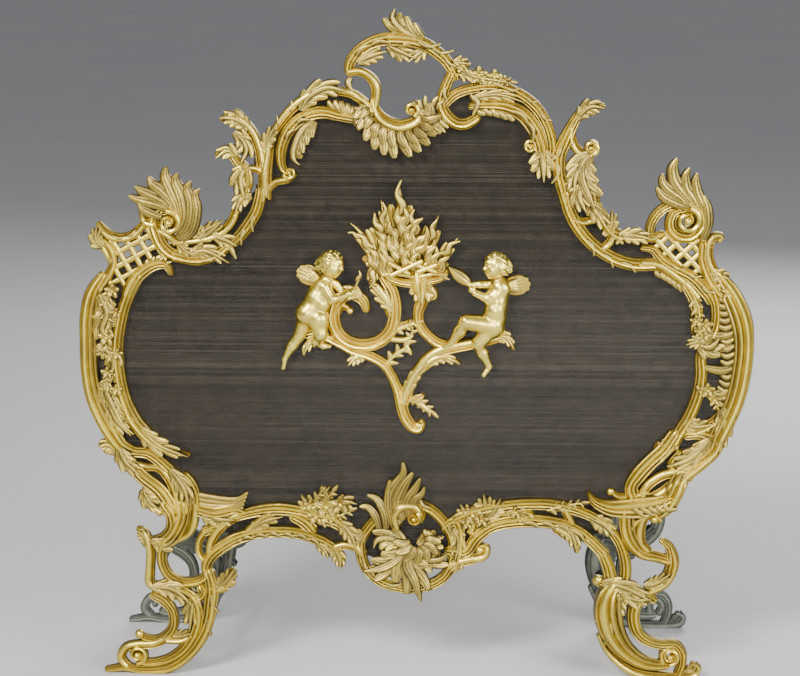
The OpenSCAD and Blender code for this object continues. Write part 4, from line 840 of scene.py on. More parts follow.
BRACKET = [
    [(-54, 428, 7), (-58, 440, 11), (-72, 447, 12), (-86, 438, 13), (-91, 420, 14), (-86, 403, 13),
     (-73, 392, 13), (-56, 389, 13), (-38, 394, 13), (-26, 408, 13), (-22, 428, 13), (-24, 448, 12),
     (-32, 462, 11), (-40, 474, 8)],
    [(-86, 424, 6), (-80, 433, 6), (-72, 428, 6)],
    [(-28, 422, 5), (-33, 440, 9), (-42, 454, 8), (-50, 462, 4)],
    [(-98, 397, 8), (-82, 389, 9), (-68, 382, 10), (-52, 377, 10), (-37, 369, 10), (-27, 356, 9),
     (-19, 338, 10), (-15, 322, 12), (-11, 308, 12), (-4, 297, 12), (4, 294, 11), (8, 301, 7)],
    [(-92, 396, 8), (-108, 400, 7), (-122, 403, 3)],
    [(-96, 395, 8), (-112, 396, 6), (-123, 387, 5), (-124, 377, 2)],
    [(-58, 376, 8), (-68, 373, 6), (-74, 366, 2)],
    [(-12, 322, 10), (-8, 338, 12), (0, 354, 11), (11, 370, 11), (25, 381, 12), (42, 387, 12),
     (62, 391, 12), (80, 394, 9), (96, 397, 7), (106, 393, 5), (110, 385, 3)],
    [(6, 360, 8), (22, 373, 9), (36, 375, 7), (50, 369, 3)],
    [(6, 474, 22), (8, 456, 24), (8, 440, 14), (4, 426, 11), (6, 412, 10), (14, 401, 10), (26, 392, 10),
     (40, 389, 9)],
    [(12, 456, 10), (20, 452, 8), (22, 444, 7), (16, 442, 5)],
    [(-24, 406, 7), (-10, 412, 8), (0, 418, 3)],
    [(-28, 396, 6), (-12, 395, 6), (-2, 400, 3)],
    [(-34, 366, 4), (-22, 378, 5), (-10, 386, 5), (-6, 396, 5)],
    [(-10, 388, 6), (-6, 382, 5), (-4, 378, 2)],
    [(-10, 328, 5), (2, 326, 8), (10, 332, 3)],
    [(-2, 326, 5), (8, 320, 6), (18, 311, 3)],
]
FLAME_MASSES = [
    [(-8, 468, 44), (-12, 496, 42), (-16, 524, 24), (-16, 544, 14), (-18, 562, 3)],
    [(-24, 476, 26), (-32, 500, 22), (-41, 520, 12), (-45, 532, 3)],
    [(-28, 474, 22), (-44, 488, 18), (-54, 504, 13), (-62, 514, 8), (-70, 521, 3)],
    [(4, 472, 26), (12, 494, 22), (19, 514, 12), (26, 529, 3)],
    [(14, 474, 20), (28, 485, 15), (37, 496, 9), (47, 506, 3)],
    [(-24, 500, 14), (-33, 524, 9), (-37, 545, 3)],
    [(-8, 500, 16), (-4, 520, 10), (-2, 535, 3)],
    [(20, 476, 12), (29, 471, 9), (34, 463, 3)],
    [(-36, 482, 16), (-46, 472, 12), (-46, 457, 3)],
]
LATTICE_OUTLINE_LEFT = [(-352, 500), (-343, 497), (-337, 487), (-338, 474), (-345, 462), (-345, 450),
    (-318, 450), (-314, 462), (-303, 474), (-288, 480), (-272, 484), (-284, 500), (-290, 518), (-302, 521),
    (-314, 513), (-328, 509), (-342, 514), (-351, 523)]
LATTICE_OUTLINE_RIGHT = [(250, 506), (276, 518), (290, 510), (314, 510), (330, 516), (326, 500), (327, 484),
    (334, 468), (338, 450), (322, 450), (306, 470), (288, 480), (272, 490), (262, 500)]
CARTOUCHE_RING_PATH = [(-62, 158), (-58, 134), (-40, 114), (-14, 106), (14, 108), (36, 122), (44, 148),
    (40, 174), (20, 198), (-4, 206), (-28, 198), (-48, 182)]
CARTOUCHE_RING_WIDTH = 13
GAUZE_LOOP = [(-16, 640), (12, 645), (30, 662), (52, 671), (86, 674), (118, 662), (139, 640), (148, 612),
    (153, 588), (164, 566), (186, 556), (200, 540), (211, 524), (228, 513), (254, 509), (278, 502),
    (302, 492), (324, 474), (342, 450), (356, 420), (361, 385), (358, 345), (349, 312), (334, 282),
    (314, 258), (294, 236), (280, 214), (252, 203), (222, 192), (206, 172), (186, 174), (152, 186),
    (118, 186), (90, 178), (72, 158), (46, 142), (6, 140), (-38, 138), (-66, 148), (-88, 154), (-118, 166),
    (-158, 171), (-194, 166), (-214, 168), (-232, 186), (-254, 206), (-280, 222), (-306, 238), (-330, 264),
    (-348, 298), (-360, 336), (-364, 380), (-361, 416), (-350, 446), (-332, 472), (-310, 490), (-284, 498),
    (-262, 503), (-236, 506), (-215, 514), (-202, 528), (-192, 548), (-172, 566), (-161, 592), (-155, 622),
    (-140, 646), (-118, 663), (-92, 671), (-68, 667), (-46, 648)]


# ---- Castings ------------------------------------------------------------------------------------

def crest_loop():
    part = Casting(CREST_LOOP)
    part.volute(-4, 651, 8, -60, turns=1.3, width=7, height=11)
    part.leaf([(-30, 720, 6), (-16, 714, 13), (0, 707, 5)], base=3, lift=5)
    part.leaf([(12, 718, 6), (4, 712, 11), (-6, 704, 4)], lobes=2, base=2, lift=5)
    part.leaf([(-62, 702, 6), (-48, 709, 11), (-32, 714, 5)], base=3, lift=5)
    part.tongue([(-70, 686, 6), (-73, 679, 8), (-68, 671, 3)], base=4)
    part.tongue([(-18, 734, 5), (-13, 741, 6), (-13, 748, 2)], base=5)
    part.chase([(-72, 700, 11), (-58, 717, 12), (-39, 726, 13)], 2, side=-1, length=22)
    part.chase([(-6, 726, 14), (22, 714, 12), (35, 702, 11)], 3, length=24)
    part.make("crest_loop")


def crest_shell():
    """A fringe of soft flutes that hangs below the crest's scroll."""
    part = Casting()
    guide = [(-50, 655, 13), (-45, 642, 17), (-34, 633, 23), (-17, 628, 25), (0, 632, 20), (11, 640, 14)]
    part.band([(-53, 650, 8), (-47, 636, 14), (-36, 625, 18), (-18, 619, 20), (2, 624, 16), (14, 634, 10)],
              base=3, height=6, section=ROUND)
    part.fringe(guide, -1, 10, base=6, curl=5, lean=0.1, width=14, tip=0.8)
    part.fringe([(x, z, 0.62 * w) for x, z, w in guide], -1, 9, base=9, lift=4, curl=3, lean=0.3, width=12,
                tip=0.8)
    part.fringe([(12, 642, 10), (20, 640, 16), (30, 648, 12)], -1, 5, base=5, lift=4, lean=0, width=8)
    part.fringe([(6, 650, 9), (16, 654, 12), (27, 650, 10)], 1, 4, base=6, lift=4, lean=0.1, width=7)
    part.leaf([(-48, 650, 10), (-58, 646, 14), (-68, 645, 6)], lobes=2, base=7)
    part.make("crest_shell")


def crest_sprig():
    part = Casting()
    part.sprig([(46, 690), (62, 687), (84, 684), (101, 682)], 12)
    part.strokes(CREST_SPRIG, base=3)
    part.flowers([(52, 699, 7), (69, 689, 8), (86, 687, 7), (97, 683, 5)])
    part.make("crest_sprig")


def left_arch():
    part = Casting(LEFT_ARCH)
    part.volute(-138, 582, 7, 200, turns=1.2, width=6, height=10)
    part.leaf([(-124, 650, 7), (-116, 664, 13), (-96, 675, 14), (-74, 671, 7)], lift=5)
    part.fringe([(-98, 662, 9), (-82, 661, 14), (-66, 654, 15), (-54, 642, 14)], -1, 7, base=4)
    part.leaf([(-166, 604, 6), (-160, 620, 10), (-152, 634, 5)])
    part.chase([(-158, 618, 9), (-148, 636, 9), (-132, 654, 10)], 2)
    part.chase([(-146, 606, 11), (-137, 630, 12), (-121, 643, 12)], 2, side=-1)
    part.make("left_arch")


def right_arch():
    part = Casting(RIGHT_ARCH)
    part.volute(126, 611, 7, 60, turns=1.2, width=6, height=9)
    part.leaf([(138, 606, 12), (140, 592, 19), (141, 573, 3)], base=5, lift=6)
    part.fringe([(62, 651, 9), (82, 653, 11), (104, 648, 9)], -1, 5, base=3, lean=0.9, width=9, tip=0.8)
    part.leaf([(62, 664, 5), (90, 668, 8), (118, 660, 4)])
    part.chase([(98, 655, 14), (116, 647, 15), (129, 632, 15)], 2, side=-1, length=20)
    part.chase([(86, 676, 11), (108, 670, 11), (128, 657, 11), (142, 638, 11)], 3)
    part.chase([(34, 688, 10), (30, 664, 11)], 1)
    part.make("right_arch")


def left_ear():
    part = Casting(LEFT_EAR)
    part.leaf([(-182, 630, 6), (-196, 641, 13), (-213, 642, 5)], base=5, lift=5, curl=4)
    part.fringe([(-186, 636, 8), (-192, 628, 9), (-190, 618, 8)], 1, 4, base=3)
    part.leaf([(-184, 590, 8), (-192, 574, 16), (-188, 554, 6)], lift=5)
    part.leaf([(-196, 600, 7), (-206, 606, 11), (-218, 598, 5)], lobes=2, base=5, lift=5)
    part.chase([(-172, 612, 9), (-169, 592, 10), (-167, 570, 9)], 2)
    part.make("left_ear")


def right_ear():
    part = Casting(RIGHT_EAR)
    part.volute(192, 610, 8, -60, turns=1.3, width=7, height=10)
    part.leaf([(176, 642, 6), (190, 655, 12), (205, 654, 4)], base=5, lift=5, curl=4)
    part.leaf([(186, 596, 7), (176, 580, 13), (174, 560, 5)], lift=5)
    part.leaf([(184, 570, 8), (180, 556, 15), (188, 540, 5)], base=7, lift=5)
    part.chase([(164, 626, 14), (158, 602, 13), (158, 582, 13)], 2, side=-1, length=22)
    part.make("right_ear")


def left_shoulder():
    part = Casting(LEFT_SHOULDER)
    part.leaf([(-240, 505, 7), (-226, 516, 11), (-211, 530, 3)], base=5, lift=5)
    part.leaf([(-248, 492, 6), (-230, 494, 13), (-206, 482, 4)], lift=5)
    part.leaf([(-180, 556, 7), (-192, 552, 11), (-198, 536, 4)], base=5, lift=5)
    part.petal(-208, 505, -1.1, 20, 8, base=5, lift=4)
    part.chase([(-173, 545, 12), (-180, 530, 12), (-193, 512, 12)], 2, length=18)
    part.make("left_shoulder")


def right_shoulder():
    part = Casting(RIGHT_SHOULDER)
    part.leaf([(190, 552, 8), (200, 538, 13), (212, 520, 5)], lift=5)
    part.leaf([(208, 514, 5), (216, 526, 10), (216, 542, 3)], base=4, lift=5)
    part.leaf([(224, 514, 6), (242, 514, 12), (262, 510, 5)])
    part.flowers([(225, 510, 5)], depth=8)
    part.chase([(182, 519, 13), (198, 502, 13), (218, 489, 13), (240, 482, 13)], 3, side=-1, length=18)
    part.make("right_shoulder")


def left_finial():
    part = Casting(LEFT_FINIAL)
    part.volute(-272, 526, 13, 100, turns=1.4, hand=-1, width=9, height=14)
    part.strokes(LEFT_PLUME, base=2)
    part.make("left_finial")


def right_finial():
    part = Casting(RIGHT_FINIAL)
    part.volute(299, 531, 14, 80, turns=1.4, hand=-1, width=9, height=14)
    part.strokes(RIGHT_PLUME, base=2)
    part.make("right_finial")


def inside(x, z, outline):
    """Whether a point lies in a closed outline."""
    hit = False
    for (xa, za), (xb, zb) in zip(outline, outline[1:] + outline[:1]):
        if (za > z) != (zb > z) and x < xa + (z - za) * (xb - xa) / (zb - za):
            hit = not hit
    return hit


def trellis(part, outline, centre, pitch, turn):
    """Two families of crossing bars inside an outline."""
    reach = 70
    width = 7.3
    bars = 6            # on each side of the middle one
    shortest = 4
    for family in (0, 1):
        angle = turn + family * math.pi / 2
        dx = math.cos(angle)
        dz = math.sin(angle)
        for k in range(-bars, bars + 1):
            x = centre[0] - dz * k * pitch
            z = centre[1] + dx * k * pitch
            run = [s for s in range(-reach, reach) if inside(x + dx * s, z + dz * s, outline)]
            if len(run) > shortest:
                part.band([(x + dx * s, z + dz * s, width) for s in (run[0], run[-1])],
                          base=1, height=4.5 + 0.4 * family, section=ROUND)


def left_lattice():
    part = Casting(LEFT_LATTICE)
    trellis(part, LATTICE_OUTLINE_LEFT, (-310.5, 487), 13.6, 0.5)
    part.leaf([(-346, 500, 7), (-354, 506, 11), (-352, 522, 4)], base=5)
    part.fringe([(-300, 474, 8), (-286, 480, 8), (-274, 476, 7)], 1, 4, base=4)
    part.chase([(-342, 513, 9), (-328, 508, 9), (-314, 511, 9)], 2, length=14)
    part.make("left_lattice")


def right_lattice():
    part = Casting(RIGHT_LATTICE)
    trellis(part, LATTICE_OUTLINE_RIGHT, (296, 495), 12.6, 0.75)
    part.leaf([(326, 470, 7), (338, 470, 10), (346, 466, 4)], base=5)
    part.fringe([(262, 478, 9), (280, 470, 11), (294, 460, 9)], -1, 5, base=2, lean=0.9)
    part.chase([(272, 487, 10), (288, 477, 11), (306, 467, 12), (322, 450, 12)], 3, length=16)
    part.make("right_lattice")


def left_side():
    part = Casting(LEFT_SIDE)
    part.leaf([(-310, 292, 8), (-290, 272, 15), (-256, 260, 3)], lift=5)
    part.leaf([(-346, 322, 6), (-336, 300, 12), (-320, 284, 4)])
    part.make("left_side")


def right_side():
    part = Casting(RIGHT_SIDE)
    part.leaf([(342, 320, 8), (346, 300, 14), (341, 268, 4)], base=7, lift=5)
    part.leaf([(302, 304, 7), (314, 298, 13), (332, 302, 5)])
    part.fringe([(296, 462, 7), (306, 448, 8), (311, 434, 7)], 1, 5, base=3)
    part.make("right_side")


def left_side_flowers():
    part = Casting()
    part.sprig([(-338, 452), (-345, 428), (-341, 408), (-346, 388), (-338, 360), (-344, 340)], 18)
    part.flowers([(-345, 396, 8), (-337, 449, 7), (-333, 424, 5), (-333, 377, 6), (-345, 356, 6),
                  (-335, 336, 6)])
    part.make("left_side_flowers")


def right_side_flowers():
    part = Casting()
    part.sprig([(308, 446), (313, 426), (318, 406), (326, 390)], 12)
    part.leaf([(322, 398, 6), (312, 396, 10), (301, 393, 3)], base=7)
    part.leaf([(316, 392, 12), (328, 390, 18), (336, 400, 8)], base=8, lift=6)
    part.flowers([(322, 414, 7), (315, 407, 5), (311, 419, 6), (326, 341, 7), (334, 330, 6), (345, 452, 6)])
    part.sprig([(330, 344), (336, 332), (338, 318)], 6, size=8)
    part.make("right_side_flowers")


def left_haunch():
    part = Casting(LEFT_HAUNCH)
    part.leaf([(-336, 262, 8), (-346, 272, 12), (-358, 270, 3)], base=5, lift=5)
    part.leaf([(-334, 268, 8), (-326, 252, 14), (-310, 238, 5)], base=8, lift=5)
    part.leaf([(-276, 244, 7), (-262, 224, 13), (-256, 204, 6)], base=8, lift=5)
    for k in range(5):
        part.tongue([(-262, 194 + 6 * k, 8), (-238, 190 + 5.5 * k, 8.5), (-212 + 2 * k, 193 + 4 * k, 8),
                     (-196 + 1.5 * k, 200 + 4.5 * k, 5)], base=2 + 0.6 * k, lift=4, curl=8, thick=6)
    part.leaf([(-308, 220, 7), (-302, 206, 13), (-290, 198, 5)])
    part.make("left_haunch")


def right_haunch():
    part = Casting(RIGHT_HAUNCH)
    part.ball(221, 223, 5, 7)
    part.band([(196, 222, 5), (204, 211, 12), (222, 204, 20), (246, 204, 25), (268, 207, 24),
               (286, 214, 16)], base=3, height=13, section=REEDS)
    for k in range(5):
        part.tongue([(244 + 9 * k, 212, 7), (248 + 9 * k, 204, 8), (258 + 9 * k, 196 + 2 * k, 5)],
                    base=12, lift=3, curl=0)
    part.leaf([(330, 284, 8), (308, 262, 15), (284, 254, 5)], base=8)
    part.leaf([(320, 262, 7), (304, 244, 12), (296, 222, 5)], base=8)
    part.leaf([(296, 284, 7), (284, 276, 12), (272, 281, 4)], base=5)
    part.leaf([(282, 268, 7), (272, 264, 10), (264, 268, 3)], lobes=2, base=5)
    part.make("right_haunch")


def left_lower_rail():
    part = Casting(LEFT_LOWER_RAIL)
    part.chase([(-206, 161, 13), (-185, 168, 12), (-158, 171, 12), (-130, 169, 12), (-110, 162, 12)], 6,
               side=-1, length=14)
    part.leaf([(-190, 170, 6), (-172, 183, 10), (-150, 190, 4)], base=5)
    part.leaf([(-110, 162, 6), (-102, 152, 9), (-99, 140, 3)], lobes=2, base=3)
    part.leaf([(-94, 154, 8), (-86, 142, 10), (-84, 128, 3)], base=5)
    part.leaf([(-84, 184, 8), (-74, 172, 12), (-66, 156, 5)], base=7)
    part.make("left_lower_rail")


def right_lower_rail():
    part = Casting(RIGHT_LOWER_RAIL)
    part.ball(74, 152, 5, 6)
    part.chase([(112, 186, 14), (140, 187, 14), (166, 183, 13), (190, 172, 12)], 4, side=-1, length=18)
    part.leaf([(160, 182, 7), (178, 172, 11), (184, 152, 5)])
    part.leaf([(56, 148, 7), (52, 138, 10), (40, 126, 4)], base=5)
    part.leaf([(104, 196, 6), (124, 194, 10), (134, 184, 4)])
    part.fringe([(200, 190, 8), (212, 184, 9), (222, 176, 8)], 1, 4, base=3)
    part.make("right_lower_rail")


def left_spray():
    """Flowers and leaves at the left of the cartouche."""
    part = Casting()
    part.sprig([(-130, 194), (-118, 204), (-108, 216)], 7, size=11)
    part.sprig([(-112, 186), (-94, 188), (-76, 196)], 9, size=11)
    part.sprig([(-126, 200), (-106, 204), (-94, 218)], 7, size=11, base=8)
    part.flowers([(-100, 202, 11), (-84, 205, 9), (-112, 190, 8), (-92, 190, 7), (-118, 204, 6)])
    part.leaf([(-116, 196, 8), (-122, 206, 13), (-128, 215, 4)], lobes=2, base=5)
    part.leaf([(-102, 204, 8), (-102, 216, 13), (-96, 226, 4)], lobes=2, base=5)
    part.leaf([(-88, 204, 8), (-77, 208, 12), (-66, 206, 4)], lobes=2, base=5)
    part.make("left_spray")


def right_spray():
    """Flowers and leaves at the right of the cartouche."""
    part = Casting()
    part.leaf([(58, 181, 9), (58, 194, 15), (52, 206, 4)], base=5)
    part.leaf([(74, 188, 9), (80, 203, 16), (78, 218, 4)], base=5)
    part.leaf([(82, 188, 8), (91, 200, 14), (97, 214, 4)])
    part.sprig([(150, 200), (170, 206), (188, 209)], 9)
    part.flowers([(66, 194, 9), (76, 188, 7), (60, 184, 6), (114, 198, 6), (122, 191, 5)])
    part.make("right_spray")


def cartouche_ring():
    part = Casting()
    ring = [(x, z, CARTOUCHE_RING_WIDTH) for x, z in closed(CARTOUCHE_RING_PATH)]
    part.band(ring)
    part.strokes(CARTOUCHE)
    part.chase(ring[6:10], 2, side=-1, length=18)
    part.chase(ring[0:4], 2, length=18)
    part.leaf([(-58, 160, 7), (-66, 168, 11), (-76, 172, 4)])
    part.leaf([(42, 176, 8), (50, 164, 12), (46, 140, 5)], base=7)
    part.make("cartouche_ring")


def cartouche_leaves():
    """The cluster of acanthus in the cartouche and the two upright leaves over it."""
    part = Casting()
    for points in CARTOUCHE_LEAF:
        broad = max(w for x, z, w in points)
        part.leaf([(x, z, 1.2 * w) for x, z, w in points], lobes=2, base=5, lift=3 + 0.25 * broad, curl=4)
    for k in range(7):
        angle = math.radians(185 + 29 * k)
        start = (3 + 8 * math.cos(angle), 164 + 8 * math.sin(angle))
        part.petal(*start, angle, 15, 11, bow=0.15, base=10, lift=5, tip=0.9)
    part.band([(-20, 176, 9), (-24, 192, 13), (-16, 204, 14), (0, 205, 11), (8, 194, 9), (0, 186, 8)],
              base=5, hand=-1)
    part.volute(-1, 190, 8, 60, turns=1.3, hand=-1, width=7, height=16)
    part.strokes(CARTOUCHE_PLUME, base=4)
    part.fringe([(10, 178, 9), (20, 174, 9), (26, 164, 9)], -1, 5, base=7)
    part.make("cartouche_leaves")


# ---- Feet ----------------------------------------------------------------------------------------

def left_foot(top=None):
    """The casting of a left foot, as far up as top."""
    part = Casting(LEFT_FOOT, top)
    part.ball(-317, 47, 5.5, 5)
    if top is None:
        part.volute(-320, 22, 11, -90, turns=1.4, width=7, height=10)
    part.leaf([(-300, 104, 7), (-276, 102, 15), (-254, 84, 6)], base=7, lift=5)
    part.leaf([(-300, 160, 7), (-284, 154, 12), (-270, 168, 5)])
    part.leaf([(-250, 98, 6), (-256, 76, 13), (-258, 54, 5)])
    part.leaf([(-282, 44, 6), (-270, 44, 11), (-256, 50, 4)], base=4)
    part.leaf([(-240, 196, 8), (-226, 186, 15), (-204, 186, 5)])
    part.leaf([(-226, 104, 8), (-214, 114, 13), (-206, 128, 5)], lift=5)
    part.leaf([(-306, 152, 6), (-308, 164, 9), (-317, 172, 4)], base=4)
    part.chase([(-236, 110, 12), (-234, 84, 14), (-240, 56, 13)], 2, length=22)
    return part


def right_foot(top=None):
    """The casting of a right foot, as far up as top."""
    part = Casting(RIGHT_FOOT, top)
    part.ball(209, 118, 5.5, 6)
    if top is None:
        part.volute(293, 27, 10, -90, turns=1.4, width=7, height=10)
        part.ball(271, 190, 4.5, 6)
    part.leaf([(214, 116, 8), (240, 110, 15), (272, 94, 5)], base=8, lift=5)
    part.leaf([(262, 112, 7), (276, 116, 11), (290, 128, 5)], base=7)
    part.leaf([(240, 104, 7), (232, 90, 12), (234, 72, 5)], base=8)
    part.leaf([(236, 104, 7), (252, 96, 12), (268, 98, 5)], base=9)
    part.leaf([(310, 6, 7), (320, 10, 11), (324, 20, 4)], lobes=2, base=2)
    part.leaf([(200, 190, 7), (214, 184, 13), (226, 172, 5)])
    part.chase([(225, 108, 20), (221, 84, 26), (226, 60, 26)], 2, side=-1, length=26)
    return part


def feet():
    """The front feet, and behind each a rear foot that repeats it up to its own top."""
    left_foot().make("left_front_foot")
    right_foot().make("right_front_foot")
    for foot, node in ((left_foot, "left_rear_foot"), (right_foot, "right_rear_foot")):
        part = foot(REAR_TOP)
        part.double(0.4)
        part.make(node, "dark_bronze", REAR_PLANE, facing=-1)


# ---- The mount on the gauze ----------------------------------------------------------------------

TRAY = 460                  # the height at which the flames begin


def mount_bracket():
    part = Casting(BRACKET)
    part.leaf([(-24, 428, 6), (-36, 444, 11), (-50, 460, 3)], base=5)
    part.leaf([(-60, 444, 6), (-72, 450, 11), (-88, 440, 4)], base=7)
    part.leaf([(6, 470, 14), (8, 452, 17), (8, 436, 5)], base=8, lift=5)
    part.leaf([(-8, 334, 6), (-2, 352, 9), (14, 370, 4)], lift=3)
    part.leaf([(12, 366, 6), (30, 376, 9), (50, 369, 3)], base=5, lift=3)
    part.leaf([(86, 396, 6), (100, 400, 9), (110, 387, 3)], base=5, lift=3)
    part.leaf([(-94, 396, 6), (-110, 402, 9), (-124, 400, 3)], base=5, lift=3)
    part.leaf([(-96, 394, 6), (-114, 394, 9), (-124, 378, 3)], base=4, lift=3)
    part.leaf([(-54, 378, 6), (-66, 374, 9), (-74, 366, 3)], base=5, lift=3)
    part.sprig([(-32, 364), (-22, 378), (-8, 390), (-2, 410)], 10, size=11, base=4)
    part.sprig([(-24, 404), (-12, 410), (0, 414)], 5, base=5)
    part.sprig([(-8, 332), (4, 326), (18, 314)], 7, size=10, base=4)
    part.ball(4, 297, 5.5, 6)
    part.ball(-72, 428, 4, 7)
    part.ball(18, 446, 4.5, 7)
    part.make("mount_bracket", "bright_gilt")


def flame(part, x, z, lean, length, width, base):
    """One tongue of flame: an S that ends in a point."""
    sway = 0.1 * length * random.choice((-1, 1))
    dx = math.sin(lean)
    dz = math.cos(lean)
    points = []
    for up, aside, share in ((0, 0, 0.7), (0.28, 1, 1), (0.62, -0.8, 0.6), (1, 0.5, 0.2)):
        points.append((x + dx * up * length + aside * sway * dz, z + dz * up * length - aside * sway * dx,
                       width * share))
    part.tongue(points, base=base, lift=3.5, curl=1.5, thick=6)


def brazier():
    """A shallow tray of burning logs with a mass of flames."""
    part = Casting()
    part.band([(-38, 474, 7), (-24, 464, 10), (-6, 460, 11), (12, 462, 10), (28, 466, 9), (36, 474, 6)],
              base=5, height=10, section=REEDS)
    part.band([(-36, 470, 5), (-20, 471, 5), (0, 468, 5), (20, 471, 5), (36, 470, 5)], base=8, height=9)
    for points in FLAME_MASSES:
        part.leaf([(x, z + 0.08 * (z - TRAY), w) for x, z, w in points], lobes=2, lift=3, curl=1, thick=6)
    half_width = 38
    for row, (count, low, share) in enumerate((
            (8, 472, 1.0), (7, 480, 0.88), (6, 490, 0.72), (5, 500, 0.54), (3, 512, 0.36), (2, 524, 0.18))):
        for k in range(count):
            across = -1 + 2 * (k + 0.5) / count
            x = -9 - row + half_width * share * across + random.uniform(-2, 2)
            z = low + random.uniform(-4, 4)
            flame(part, x, z, 0.6 * across + random.uniform(-0.25, 0.25), random.uniform(19, 26),
                  random.uniform(12, 16), 12.5 - row * 0.7 + random.uniform(0, 1.5))
    for x, z, lean, length, width in (
            (-17, 536, 0, 38, 10), (-38, 514, -0.3, 24, 9), (-34, 526, 0, 24, 8), (-46, 500, -0.9, 26, 10),
            (16, 508, 0.3, 24, 9), (28, 492, 0.9, 26, 10), (-4, 520, 0.1, 22, 9), (28, 473, 2.3, 13, 7),
            (-44, 474, -2.9, 19, 9), (-60, 512, -1.2, 14, 6)):
        flame(part, x, z, lean, length, width, base=9)
    for xa, za, xb, zb in ((-26, 470, 8, 486), (-28, 484, -6, 472), (-4, 484, 24, 474), (4, 474, 24, 482)):
        part.band([(xa, za, 6), (xb, zb, 5.4)], base=15, height=5.5, section=ROUND)
    part.make("brazier", "bright_gilt")


# ---- The putti -----------------------------------------------------------------------------------

HEAD = 13.2                 # the radius of a putto's head
LOCKS = 230                 # how many curls are tried on it
WING = 27
CLAY_BACK = 3.0             # where a figure is cut flat
CLAY_PITCH = 0.62           # the grid that a figure is modelled on
SHELL_REACH = 3.0           # how far from its surface the grid's distances are kept


